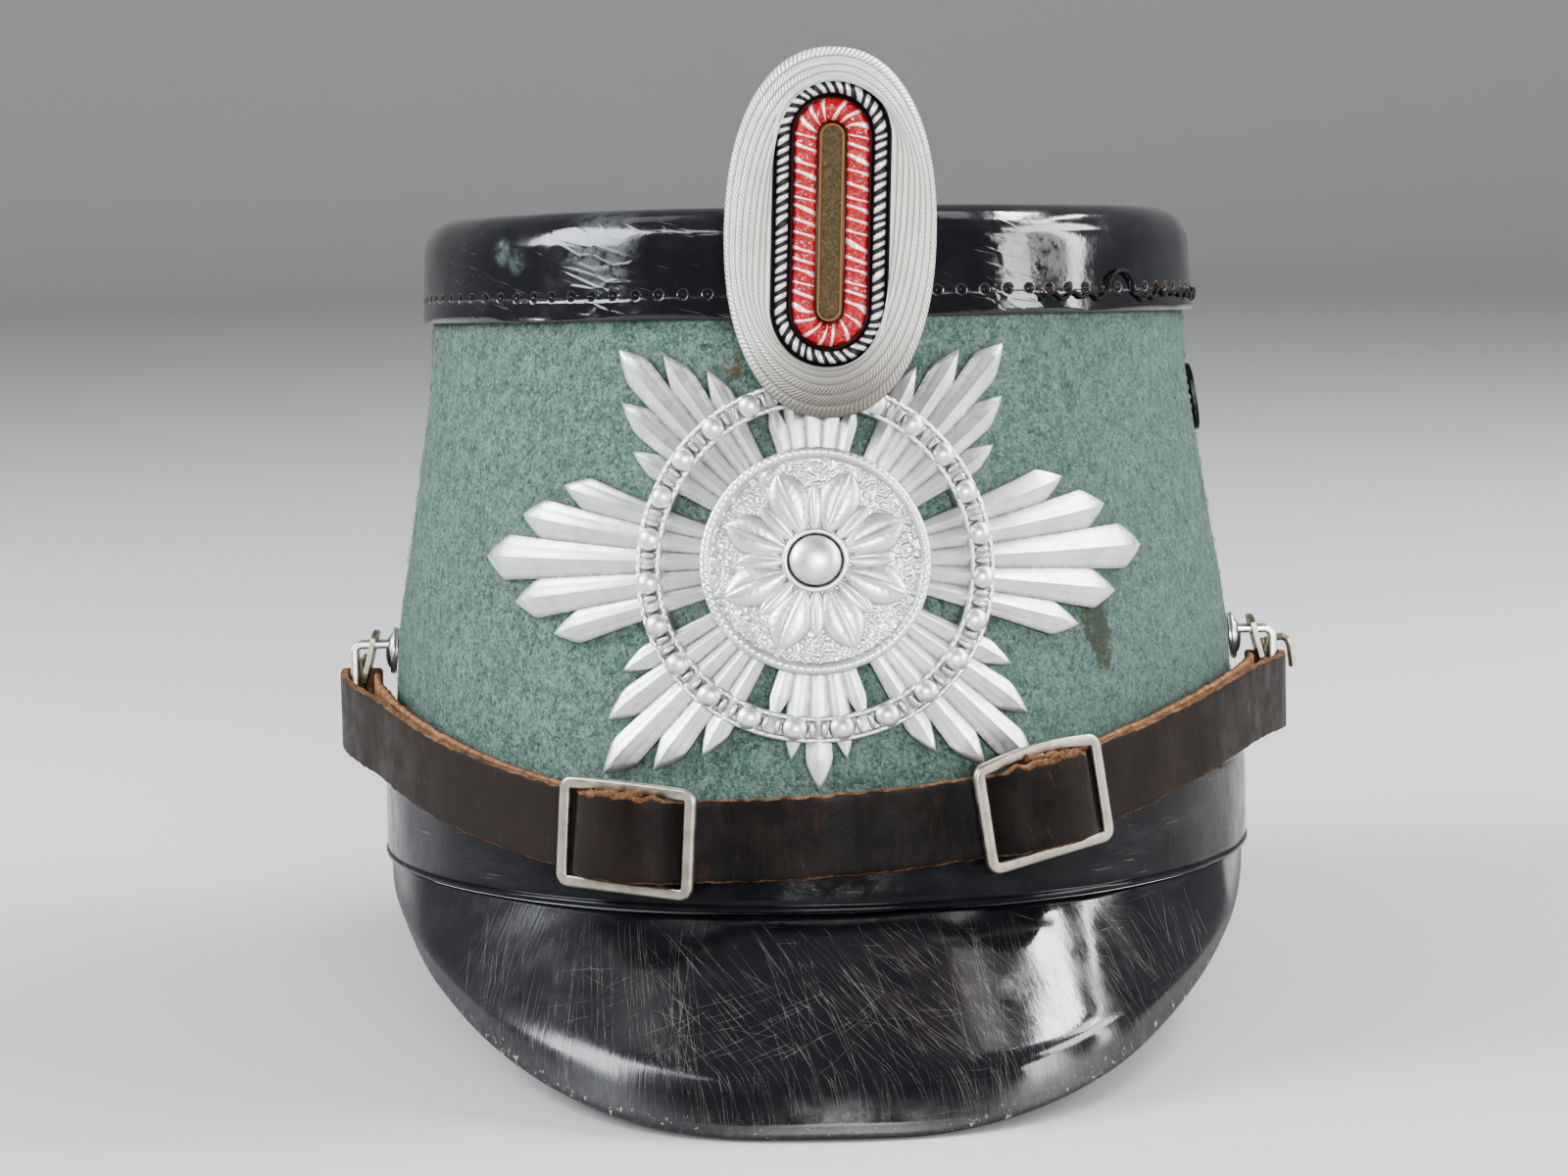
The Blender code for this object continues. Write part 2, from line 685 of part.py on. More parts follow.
def make_hook(side):
    """A round rosette on the felt with an arm that reaches out and turns down."""
    angle = hook_angle() * (-1 if side == "left" else 1)
    middle = GAP + ROSETTE_THICK / 2
    place = frame_matrix(*crown_frame(angle, HOOK_HEIGHT, middle))
    disc = bmesh.new()
    bmesh.ops.create_cone(
        disc,
        cap_ends=True,
        segments=ROSETTE_STEPS,
        radius1=ROSETTE_RADIUS,
        radius2=ROSETTE_RADIUS * ROSETTE_TAPER,
        depth=ROSETTE_THICK,
    )
    hook = add_object(side + "_hook", mesh_of("hook", disc), "hook_metal")
    hook.data.transform(place)
    root = abs(crown_frame(angle, HOOK_HEIGHT, GAP + 0.5 * MM)[0].x)
    low = HOOK_ARM_TOP - HOOK_ARM_THICK
    bend = (HOOK_REACH - HOOK_BEND_RADIUS, HOOK_ARM_TOP - HOOK_BEND_RADIUS)

    def corner(radius):
        turns = (math.radians(90 - 22.5 * step) for step in range(5))
        return [(bend[0] + radius * math.cos(turn), bend[1] + radius * math.sin(turn)) for turn in turns]

    outline = [(root, low), (root, HOOK_ARM_TOP)]
    outline += corner(HOOK_BEND_RADIUS)
    outline += [(HOOK_REACH, HOOK_LOW), (HOOK_REACH - HOOK_ARM_THICK, HOOK_LOW)]
    outline += corner(HOOK_BEND_RADIUS - HOOK_ARM_THICK)[::-1]
    arm = flat_outline("arm", [outline], HOOK_ARM_WIDTH, "hook_metal")
    stand = Matrix.Translation((0, HOOK_BACK, 0)) @ Matrix.Rotation(math.pi / 2, 4, "X")
    if side == "left":
        stand = Matrix.Diagonal((-1, 1, 1, 1)) @ stand
    arm.data.transform(stand)
    shape = bmesh.new()
    shape.from_mesh(arm.data)
    bmesh.ops.recalc_face_normals(shape, faces=shape.faces)
    shape.to_mesh(arm.data)
    shape.free()
    return unite(hook, [arm])


def fold_bar_place():
    """Where the clip's bar stands inside the strap's fold, on the right, at the strap's height there."""
    inside = FOLD_RADIUS - STRAP_THICK / 2
    behind = inside - CLIP_WIRE_RADIUS - GAP
    point, _, _, _ = strap_frame(FOLD_PLACE + behind, INNER_RUN + FOLD_RADIUS)
    return point


def make_strap_clip(side):
    """A small plate hung over the hook's arm, with a wire down through the strap's fold.

    The right one's wire has a second leg, which is sprung open over the outside of the strap.
    """
    bar = fold_bar_place()
    thick, wide, high = CLIP_PLATE
    plate_x, plate_middle = CLIP_PLACE
    rim = rounded_rectangle(wide, high, CLIP_PLATE_CORNER)
    slot_wide = HOOK_ARM_WIDTH + CLIP_SLOT_SPARE
    slot_high = HOOK_ARM_THICK + CLIP_SLOT_SPARE
    slot_middle = HOOK_ARM_TOP - HOOK_ARM_THICK / 2 - plate_middle
    slot = rounded_rectangle(slot_wide, slot_high, CLIP_SLOT_SPARE / 2, (0, slot_middle), 1)
    clip = flat_outline(side + "_strap_clip", [rim, slot], thick, "clip_metal")
    stand = Matrix(((0, 0, 1), (1, 0, 0), (0, 1, 0))).to_4x4()
    lean = Matrix.Rotation(CLIP_LEAN, 4, "Y")
    centre = Matrix.Translation((plate_x, HOOK_BACK, plate_middle))
    clip.data.transform(centre @ lean @ stand)

    def wire_points(table, out, back):
        return [(out + row.out, back + row.back, CLIP_WIRE_TOP + row.up) for row in table]

    foot = strap_height(FOLD_PLACE) - STRAP_WIDTH / 2
    leg = wire_points(LEG_ON_PLATE, plate_x, HOOK_BACK)
    leg += wire_points(LEG_TO_BAR, bar.x, bar.y)
    leg.append((bar.x, bar.y, foot))
    wires = [wire("leg", leg, CLIP_WIRE_RADIUS, "clip_metal")]
    if side == "right":
        outside = strap_frame(FOLD_PLACE, 2 * FOLD_RADIUS + INNER_RUN)[0].x
        spring = wire_points(SPRING_FROM_BAR, bar.x, bar.y)
        spring += wire_points(SPRING_OUTSIDE, outside, bar.y)
        wires.append(wire("spring", spring, CLIP_WIRE_RADIUS * 0.9, "clip_metal"))
    clip = unite(clip, wires)
    if side == "left":
        clip.data.transform(Matrix.Diagonal((-1, 1, 1, 1)))
        clip.data.flip_normals()
    return smooth(clip)


def make_vent(side):
    """A small oval grille with level slots."""
    width, height = VENT_SIZE
    outlines = [rounded_rectangle(width, height, VENT_CORNER)]
    slot_wide, slot_high = VENT_SLOT
    for i in range(VENT_SLOTS):
        level = (i - (VENT_SLOTS - 1) / 2) * VENT_PITCH
        length = slot_wide - abs(level) * VENT_SLOT_TAPER
        outlines.append(rounded_rectangle(length, slot_high, slot_high * 0.45, (0, level), 1))
    vent = flat_outline(side + "_vent", outlines, VENT_THICK, "vent_metal")
    angle = math.radians(VENT_ANGLES[side])
    vent.matrix_world = frame_matrix(*crown_frame(angle, VENT_HEIGHT, VENT_OUT + VENT_THICK / 2))
    return vent


# ---------------------------------------------------------------- front plate


def ray_reach(heading):
    """Reach of a group's middle ray: longest to the sides, shortest up and down."""
    if abs(math.cos(heading)) > 0.99:
        return RAY_LEVEL
    return RAY_UPRIGHT if abs(math.sin(heading)) > 0.99 else RAY_SLANT


def ray_group(heading):
    """One solid fan of rays, each with a ridge along it and a pointed end, that share their valleys."""
    reach = ray_reach(heading)
    middle = (RAYS_IN_GROUP - 1) / 2
    lengths = [reach * (1 - RAY_SHORTER * abs(ray - middle)) for ray in range(RAYS_IN_GROUP)]
    shoulders = [length - RAY_POINT for length in lengths]
    shape = bmesh.new()
    made = {}

    def corner(step, radius, height):
        key = (round(2 * step), round(radius / MM, 3))
        if key not in made:
            turn = heading + step * RAY_SPACING
            spot = (radius * math.cos(turn), radius * math.sin(turn), height)
            made[key] = shape.verts.new(spot)
        return made[key]

    for ray, (length, shoulder) in enumerate(zip(lengths, shoulders)):
        step = ray - middle
        root = corner(step, RAY_ROOT, RAY_ROOT_HIGH)
        crest = corner(step, shoulder, RAY_CREST_HIGH)
        tip = corner(step, length, RAY_VALLEY_HIGH)
        for side in (-1, 1):
            beside = ray + side
            near = min(shoulder, shoulders[beside]) if 0 <= beside < RAYS_IN_GROUP else shoulder
            radii = sorted({RAY_ROOT, near, shoulder})
            rim = [corner(step + side / 2, radius, RAY_VALLEY_HIGH) for radius in radii]
            shape.faces.new(rim + [crest, root] if side > 0 else [root, crest] + rim[::-1])
            end = [rim[-1], tip, crest]
            shape.faces.new(end if side > 0 else end[::-1])
    top = shape.faces[:]
    copy = bmesh.ops.extrude_face_region(shape, geom=top, use_keep_orig=True)
    for vert in copy["geom"]:
        if isinstance(vert, bmesh.types.BMVert):
            vert.co.z = 0
    return add_object("rays", mesh_of("rays", shape), "plate_metal")


def petal(heading):
    """A pointed petal with a raised middle, sunk a little into the disc's face."""
    forward = Vector((math.cos(heading), math.sin(heading), 0))
    side = Vector((-math.sin(heading), math.cos(heading), 0)) * PETAL_WIDTH / 2
    root = forward * PETAL_ROOT
    wide = root + forward * PETAL_LENGTH * PETAL_WIDEST
    outline = [root, wide - side, root + forward * PETAL_LENGTH, wide + side]
    shape = bmesh.new()
    low, high = (
        [shape.verts.new(point + Vector((0, 0, DISC_HIGH + height))) for point in outline]
        for height in (-PETAL_SINK, PETAL_EDGE)
    )
    crest = shape.verts.new(wide + Vector((0, 0, DISC_HIGH + PETAL_CREST)))
    shape.faces.new(low)
    for i in range(4):
        j = (i + 1) % 4
        shape.faces.new((low[i], low[j], high[j], high[i]))
        shape.faces.new((high[i], high[j], crest))
    return add_object("petal", mesh_of("petal", shape), "plate_metal")


def bead(heading):
    """A round bead, sunk into the ring's top."""
    shape = bmesh.new()
    round_steps, pole_steps = BEAD_STEPS
    bmesh.ops.create_uvsphere(
        shape, u_segments=round_steps, v_segments=pole_steps, radius=BEAD_RADIUS
    )
    height = RING_HIGH - BEAD_SINK
    place = Vector((math.cos(heading) * RING_RADIUS, math.sin(heading) * RING_RADIUS, height))
    turn = Matrix.Rotation(heading + BEAD_TURN, 3, "Z")
    bmesh.ops.rotate(shape, verts=shape.verts, matrix=turn)
    bmesh.ops.translate(shape, verts=shape.verts, vec=place)
    return add_object("bead", mesh_of("bead", shape), "plate_metal")


def turned_solid(name, profile, steps, look):
    """A solid turned about Z from (radius, height) pairs that run down its outer side."""
    shape = bmesh.new()
    corners = [shape.verts.new((radius, 0, height)) for radius, height in profile]
    for a, b in zip(corners, corners[1:]):
        shape.edges.new((a, b))
    mesh = bpy.data.meshes.new(name)
    shape.to_mesh(mesh)
    shape.free()
    obj = add_object(name, mesh, look)
    screw = obj.modifiers.new("turn", "SCREW")
    screw.steps = screw.render_steps = steps
    screw.use_merge_vertices = True
    screw.merge_threshold = 0.01 * MM
    bpy.context.view_layer.update()
    obj.data = evaluated(obj)
    obj.modifiers.clear()
    return obj


def bend_round_crown(mesh):
    """Wraps a flat mesh round the front of the crown: X becomes arc length and Z the distance out."""
    middle = section_at(PLATE_MIDDLE)
    turns = np.radians(np.linspace(-80, 80, 641))
    points = [oval_point(middle, turn) for turn in turns]
    steps = [(b - a).length for a, b in zip(points, points[1:])]
    arcs = np.concatenate(([0.0], np.cumsum(steps)))
    arcs = arcs - np.interp(0.0, turns, arcs)
    shape = bmesh.new()
    shape.from_mesh(mesh)
    bmesh.ops.dissolve_limit(
        shape, angle_limit=math.radians(0.5), verts=shape.verts, edges=shape.edges
    )
    cut = -math.floor(RAY_LEVEL / BEND_STEP) * BEND_STEP
    while cut < RAY_LEVEL:
        everything = shape.verts[:] + shape.edges[:] + shape.faces[:]
        bmesh.ops.bisect_plane(shape, geom=everything, plane_co=(cut, 0, 0), plane_no=(1, 0, 0))
        cut += BEND_STEP
    bmesh.ops.triangulate(shape, faces=shape.faces)
    for vert in shape.verts:
        angle = float(np.interp(vert.co.x, arcs, turns))
        point, _, _, outward = crown_frame(angle, PLATE_MIDDLE + vert.co.y, PLATE_OUT)
        vert.co = point + outward * vert.co.z
    shape.to_mesh(mesh)
    shape.free()


def make_front_plate():
    """A pierced star with a beaded ring laid over its rays, round a disc with a rosette."""
    dome_high = BOSS_HIGH - DISC_HIGH
    disc_profile = [(BOSS_RADIUS * row.radius, DISC_HIGH + dome_high * row.height) for row in BOSS_DOME]
    disc_profile += [
        (DISC_RADIUS - DISC_RIM, DISC_HIGH),
        (DISC_RADIUS - DISC_RIM * 0.6, DISC_RIM_HIGH),
        (DISC_RADIUS, DISC_RIM_HIGH * 0.9),
        (DISC_RADIUS, -PLATE_FOOT),
        (0.0, -PLATE_FOOT),
    ]
    plate = turned_solid("front_plate", disc_profile, DISC_STEPS, "plate_metal")
    inner = RING_RADIUS - RING_WIDTH / 2
    outer = RING_RADIUS + RING_WIDTH / 2
    ring_profile = [
        (inner, PLATE_FOOT),
        (inner, RING_HIGH * 0.6),
        (inner + RING_WIDTH * 0.25, RING_HIGH),
        (outer - RING_WIDTH * 0.25, RING_HIGH),
        (outer, RING_HIGH * 0.6),
        (outer, PLATE_FOOT),
        (inner, PLATE_FOOT),
    ]
    pieces = [turned_solid("ring", ring_profile, RING_STEPS, "plate_metal")]
    pieces += [ray_group(2 * math.pi * group / RAY_GROUPS) for group in range(RAY_GROUPS)]
    pieces += [petal(2 * math.pi * (i + 0.5) / PETALS) for i in range(PETALS)]
    pieces += [bead(2 * math.pi * (i + 0.5) / BEADS) for i in range(BEADS)]
    unite(plate, pieces)
    bend_round_crown(plate.data)
    return plate


# ---------------------------------------------------------------- cockade


def cockade_place():
    turn = Matrix.Rotation(COCKADE_TURN, 4, "Y")
    stand = Matrix.Rotation(math.pi / 2, 4, "X")
    return Matrix.Translation(COCKADE_PLACE) @ turn @ stand


def oval_outline(half_x, half_y):
    """The cockade's outer shape: an oval with slightly full corners."""
    points = []
    for i in range(COCKADE_STEPS):
        turn = 2 * math.pi * i / COCKADE_STEPS
        c, s = math.cos(turn), math.sin(turn)
        size = (abs(c) ** COCKADE_POWER + abs(s) ** COCKADE_POWER) ** (-1 / COCKADE_POWER)
        points.append((half_x * size * c, half_y * size * s))
    return points


def slot_outline(radius):
    """A slot with round ends, its points at even turns so that it lofts to the oval."""
    points = []
    for i in range(COCKADE_STEPS):
        turn = 2 * math.pi * i / COCKADE_STEPS
        slope = math.atan2(math.sin(turn) * COCKADE_HALF[1], math.cos(turn) * COCKADE_HALF[0])
        corner = math.atan2(COCKADE_STRAIGHT, radius)
        c, s = math.cos(slope), math.sin(slope)
        if abs(math.tan(slope)) < math.tan(corner):
            reach = radius / abs(c)
        else:
            reach = COCKADE_STRAIGHT * abs(s)
            reach += math.sqrt(radius**2 - (COCKADE_STRAIGHT * c) ** 2)
        points.append((reach * c, reach * s))
    return points


def level_ring(outline, height):
    return [(x, y, height) for x, y in outline]


def cockade_solid(name, rings, look, ring_shaped):
    """A closed solid through level outlines. A ring-shaped one joins its last outline to its first."""
    shape, rows = loft(rings + rings[:1] if ring_shaped else rings, closed=True)
    if ring_shaped:
        bmesh.ops.remove_doubles(shape, verts=shape.verts, dist=0.001 * MM)
    else:
        shape.faces.new(rows[0][::-1])
        shape.faces.new(rows[-1])
    obj = add_object(name, mesh_of(name, shape), look)
    obj.matrix_world = cockade_place()
    return smooth(obj)


def cord_ring(name, cord, low, look):
    """A half-round cord laid round the slot."""
    rings = []
    for step in range(CORD_STEPS + 1):
        turn = math.pi * step / CORD_STEPS
        radius = (cord.inner + cord.outer) / 2 - (cord.outer - cord.inner) / 2 * math.cos(turn)
        height = low + (cord.top - low) * (0.25 + 0.75 * math.sin(turn))
        rings.append(level_ring(slot_outline(radius), height))
    rings.append(level_ring(slot_outline(cord.outer), low))
    rings.append(level_ring(slot_outline(cord.inner), low))
    return cockade_solid(name, rings, look, ring_shaped=True)


def make_cockade():
    oval = oval_outline(*COCKADE_HALF)
    well = slot_outline(BLACK_CORD.outer + GAP)
    rings = []
    for row in COCKADE_DISH:
        rows = zip(oval, well)
        outline = [(a[0] + (b[0] - a[0]) * row.inward, a[1] + (b[1] - a[1]) * row.inward) for a, b in rows]
        rings.append(level_ring(outline, row.height))
    rings.append(level_ring(well, COCKADE_FLOOR))
    cockade_solid("cockade_rim", rings, "silver_cord", ring_shaped=False)
    low = COCKADE_FLOOR + GAP
    cord_ring("cockade_black_ring", BLACK_CORD, low, "black_cord")
    cord_ring("cockade_red_ring", RED_CORD, low, "red_cord")
    centre = slot_outline(CENTRE_RADIUS)
    pad = [level_ring(centre, low), level_ring(centre, CENTRE_TOP)]
    cockade_solid("cockade_centre", pad, "gold_centre", ring_shaped=False)


def make_cockade_prong():
    """A plain tongue between the back of the cockade and the front of the cap."""
    front = -COCKADE_PLACE[1] - GAP
    back = section_at(CAP_LOW).front + GAP + CAP_WALL + GAP
    shape = bmesh.new()
    bmesh.ops.create_cube(shape, size=1.0)
    size = Vector((PRONG_WIDTH, front - back, PRONG_HEIGHT))
    bmesh.ops.scale(shape, vec=size, verts=shape.verts)
    prong = add_object("cockade_prong", mesh_of("prong", shape), "hook_metal")
    prong.location = (COCKADE_PLACE[0], -(front + back) / 2, PRONG_MIDDLE)
    return bevel(prong, PRONG_EDGE, 1)


# ---------------------------------------------------------------- assembly


def lowest(obj):
    """The lowest point of an object in the hat frame."""
    graph = bpy.context.evaluated_depsgraph_get()
    mesh = obj.evaluated_get(graph).to_mesh()
    return min((obj.matrix_world @ vert.co for vert in mesh.vertices), key=lambda p: p.z)


def bounds(objects):
    graph = bpy.context.evaluated_depsgraph_get()
    points = []
    for obj in objects:
        piece = obj.evaluated_get(graph)
        points += [tuple(piece.matrix_world @ vert.co) for vert in piece.to_mesh().vertices]
    points = np.array(points)
    return points.min(axis=0), points.max(axis=0)


def stand_on_peaks(hat, pieces, front_peak, rear_peak):
    """Leans the hat back until both peaks' tips are level, then sets its base centre on the origin."""
    front, rear = lowest(front_peak), lowest(rear_peak)
    lean = -math.atan2(rear.z - front.z, rear.y - front.y)
    hat.rotation_euler = (lean, 0, 0)
    bpy.context.view_layer.update()
    low, high = bounds(pieces)
    hat.location = (-(low[0] + high[0]) / 2, -(low[1] + high[1]) / 2, -low[2])


def build():
    hat = bpy.data.objects.new("hat", None)
    hat_collection.objects.link(hat)
    make_felt_crown()
    make_top_cap()
    make_base_band()
    front_peak = make_peak("front_peak", FRONT_PEAK, -1, columns=28, rows=5)
    rear_peak = make_peak("rear_peak", REAR_PEAK, 1, columns=24, rows=4)
    make_chin_strap()
    for side in ("left", "right"):
        make_slider(side)
        make_hook(side)
        make_strap_clip(side)
        make_vent(side)
    make_front_plate()
    make_cockade()
    make_cockade_prong()
    bpy.context.view_layer.update()
    pieces = [obj for obj in hat_collection.objects if obj.type == "MESH"]
    for piece in pieces:
        piece.parent = hat
    stand_on_peaks(hat, pieces, front_peak, rear_peak)
    bpy.context.view_layer.update()


clear_scene()
hat_collection = bpy.data.collections.new("shako")
bpy.context.scene.collection.children.link(hat_collection)
build()
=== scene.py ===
"""Looks of the felt shako: fine surfaces in place of the plain solids, procedural finishes, light and camera.

Pieces are drawn in the hat's own frame, in metres: the origin is the centre of the head opening, level with
the band's lower edge; +Z runs up the crown, the front faces -Y and +X is the viewer's right.
"""

import math
from collections import namedtuple
from types import SimpleNamespace

import bpy
import numpy as np
from mathutils import Matrix, Vector


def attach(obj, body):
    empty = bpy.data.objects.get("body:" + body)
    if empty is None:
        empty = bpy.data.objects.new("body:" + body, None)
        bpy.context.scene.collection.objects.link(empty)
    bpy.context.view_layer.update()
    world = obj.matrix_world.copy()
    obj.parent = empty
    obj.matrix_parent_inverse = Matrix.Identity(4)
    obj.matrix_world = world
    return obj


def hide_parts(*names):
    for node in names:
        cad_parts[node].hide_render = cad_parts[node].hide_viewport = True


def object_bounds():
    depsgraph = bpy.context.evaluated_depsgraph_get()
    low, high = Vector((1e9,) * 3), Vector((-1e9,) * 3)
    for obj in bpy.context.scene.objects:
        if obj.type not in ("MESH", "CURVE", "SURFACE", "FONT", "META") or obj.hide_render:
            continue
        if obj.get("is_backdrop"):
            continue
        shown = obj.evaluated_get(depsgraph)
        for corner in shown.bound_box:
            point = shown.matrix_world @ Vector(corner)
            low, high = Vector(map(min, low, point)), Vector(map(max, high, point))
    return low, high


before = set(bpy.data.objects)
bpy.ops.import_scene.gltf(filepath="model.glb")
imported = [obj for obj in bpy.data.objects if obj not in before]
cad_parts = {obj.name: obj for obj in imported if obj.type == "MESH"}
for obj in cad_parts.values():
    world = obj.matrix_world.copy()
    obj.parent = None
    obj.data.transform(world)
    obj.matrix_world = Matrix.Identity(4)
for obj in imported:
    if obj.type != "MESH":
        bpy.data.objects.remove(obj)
cad_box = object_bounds()

MM = 0.001
GAP = 0.3 * MM
SIDES = {"left": -1, "right": 1}


def sizes(**in_mm):
    """A group of named sizes, given in millimetres and kept in metres."""
    return SimpleNamespace(**{name: size * MM for name, size in in_mm.items()})


# The crown, cap and band, as the solids have them.
Section = namedtuple("Section", "height half_width front back")  # mm
FELT_SECTIONS = [
    Section(0.5, 88.0, 105.0, 105.0),
    Section(22.0, 87.9, 103.6, 102.0),
    Section(46.0, 86.6, 100.8, 97.6),
    Section(71.0, 82.6, 97.3, 92.0),
    Section(96.0, 78.5, 94.0, 86.8),
    Section(123.4, 77.4, 92.0, 84.0),
]
FELT = sizes(low=0.5, top=123.4, wall=2.6, softening=5.0)  # its profile is rounded over softening each way
CAP = sizes(low=109.6, top=130.5, wall=1.9, edge=7.0, score=113.75)
CAP_OUT = GAP + CAP.wall
HOLE = sizes(height=114.4, radius=0.86, depth=1.0, pitch=5.0)  # the pitch is the one on the cap's flat pattern
HOLE_COUNT = 104
BAND = sizes(height=20.3, outer=2.0, lip_height=1.3, lip=0.45)

# Peaks, as the solids have them.
PEAK = sizes(wall=2.0, inset=0.7)
FRONT_PEAK = sizes(half_width=88.0, corner_out=12.5, tip_out=139.3, corner_drop=2.3, tip_drop=35.6)
REAR_PEAK = sizes(half_width=80.0, corner_out=45.0, tip_out=127.0, corner_drop=2.3, tip_drop=18.5)
FRONT_PEAK.arch, FRONT_PEAK.facing = 0.10, -1
REAR_PEAK.arch, REAR_PEAK.facing = 0.08, 1
EDGE_ALONG_POWER, EDGE_ACROSS_POWER = 1.43, 0.77
REST_TURN = 0.11
HAIRLINES = [  # count, from and to across, from and to along, lean and its spread in radians, lengths; all mm
    (80, -68, -24, 0.02, 0.40, -0.03, 0.05, 10, 44),
    (150, -34, 34, 0.02, 0.62, 0.60, 0.07, 8, 42),
    (45, -12, 46, 0.02, 0.50, 0.34, 0.07, 15, 48),
    (34, -42, 14, 0.20, 0.70, -1.05, 0.13, 6, 20),
    (36, 20, 47, 0.00, 0.12, 0.20, 0.06, 38, 66),
    (90, -32, 63, 0.72, 0.80, 0.45, 0.22, 8, 16),
    (60, -64, -24, 0.64, 0.72, 0.12, 0.10, 5, 12),
    (60, 44, 73, 0.05, 0.70, 0.32, 0.12, 4, 18),
    (40, -45, 60, 0.05, 0.70, 1.20, 0.25, 4, 12),
]
HAIRLINE_STEP = 1.1  # mm

# Chin strap and sliders, as the solids have them.
STRAP = sizes(
    width=15.5, thick=1.6, low=14.5, rise=15.5, skew=2.6, inner_run=1.3, outer_run=3.6,
    fold_radius=3.6, fold_depth=5.0, splay=42.0,
)
SLIDER = sizes(width=28.4, height=20.8, rim=2.3, bar=3.0, thick=1.7, corner=2.0, out=5.0)
SLIDER_PLACES = {"left": -35.0 * MM, "right": 41.0 * MM}
SLIDER_BOW = {"left": 0.2 * MM, "right": 1.1 * MM}  # how far the top bar bends up
# The strap's route past a slider, in mm from the slider's middle: how far towards the fold, and how far out.
TAIL_ROUTE = [(6.2, 5.2), (4.9, 6.1), (2.4, 6.9)]
INNER_ROUTE = [(1.5, 2.9), (5.0, 2.1), (8.5, 1.5), (13.0, 1.3)]
ARCH_ROUTE = [
    (18.0, 3.6), (14.2, 3.6), (11.2, 3.7), (9.6, 5.2), (8.3, 7.0), (6.3, 8.4), (3.4, 9.1), (0.0, 9.2),
    (-3.2, 8.9), (-6.0, 7.9), (-8.2, 6.3), (-9.8, 4.6), (-11.6, 3.4), (-14.4, 2.6), (-19.0, 1.6),
]

HOOK = sizes(
    height=41.5, back=-8.0, rosette=4.9, rosette_thick=2.5, rosette_edge=0.9, top=43.8, thick=1.6, width=5.0,
    bend=2.6, reach=96.6, low=31.5,
)

# Front plate, drawn flat about its centre and bent round the crown.
PLATE = sizes(middle=64.5, out=0.7)
RAY_GROUPS, RAYS_IN_GROUP = 8, 5
RAY_SPACING = math.radians(7.6)
RAY_SHORTER = 0.13
RAY = sizes(level=72.0, upright=42.5, slant=56.0, point=5.5, root=17.0, valley=0.9, crest=2.6)
RING = sizes(radius=31.0, width=5.0, high=2.5, bead=2.4, fillet=0.55, reel=1.45)
BEADS = 24
BEAD_SINK = 0.35 * RING.bead
DISC = sizes(radius=21.0, rim=2.0, rim_high=3.2, high=2.1, boss=6.0, boss_high=5.4, collar=0.55)
PETALS = 8
PETAL = sizes(root=4.6, length=13.0, width=7.6, crest=1.5)

# Cockade, as the solids have it.
COCKADE = sizes(half_x=19.6, half_y=34.1, straight=15.8, floor=1.2, lift=1.8, centre=2.35, centre_top=3.6)
COCKADE_POWER = 2.25
COCKADE_PLACE = (3.8 * MM, -99.3 * MM, 125.2 * MM)
COCKADE_TURN = math.radians(2.1)
BLACK_CORD = sizes(inner=7.35, outer=10.55, top=5.0)
RED_CORD = sizes(inner=2.65, outer=7.05, top=5.6)
RIM_CORDS, RIM_STRANDS = 8, 190
DISH = np.array([(0.0, 0.9), (0.08, 2.1), (0.35, 3.6), (0.7, 4.4), (1.0, 4.5)])  # share inward, height in mm

# Marks on the felt and the cap: degrees round, height, radius and softness in mm, colour, share.
FELT_SPOTS = [
    (38.6, 52.4, 2.7, 1.5, (0.036, 0.025, 0.008), 0.88),
    (39.4, 46.4, 1.9, 1.4, (0.038, 0.024, 0.008), 0.88),
    (-11.2, 100.8, 0.8, 1.0, (0.10, 0.045, 0.015), 0.7),
    (38.5, 94.5, 0.6, 1.6, (0.022, 0.030, 0.024), 0.5),
]
SPOT_FLATTENING = 0.62  # heights are scaled by this, which draws the spots out upwards
CAP_SCUFFS = [
    (-48.0, 123.2, 1.6, 1.8, (0.05, 0.075, 0.068), 0.8),
    (-45.0, 121.6, 1.6, 1.8, (0.05, 0.075, 0.068), 0.8),
    (33.2, 122.5, 4.0, 5.0, (0.16, 0.16, 0.16), 0.3),
    (-30.0, 124.5, 5.0, 6.0, (0.10, 0.105, 0.11), 0.5),
]
FIBRES = 6000

# The loose thread on the cap: degrees round, heights in mm.
THREAD_ENDS = (32.8, 128.0)
THREAD_LOOP = (45.6, 51.8)
THREAD_RADIUS = 0.38 * MM
LOOSE_PLIES = [  # and each ply's lean in radians and length in mm
    (33.2, 113.6, -0.9, 2.2),
    (52.4, 113.4, -0.5, 2.6),
    (72.0, 113.2, -1.2, 1.8),
]

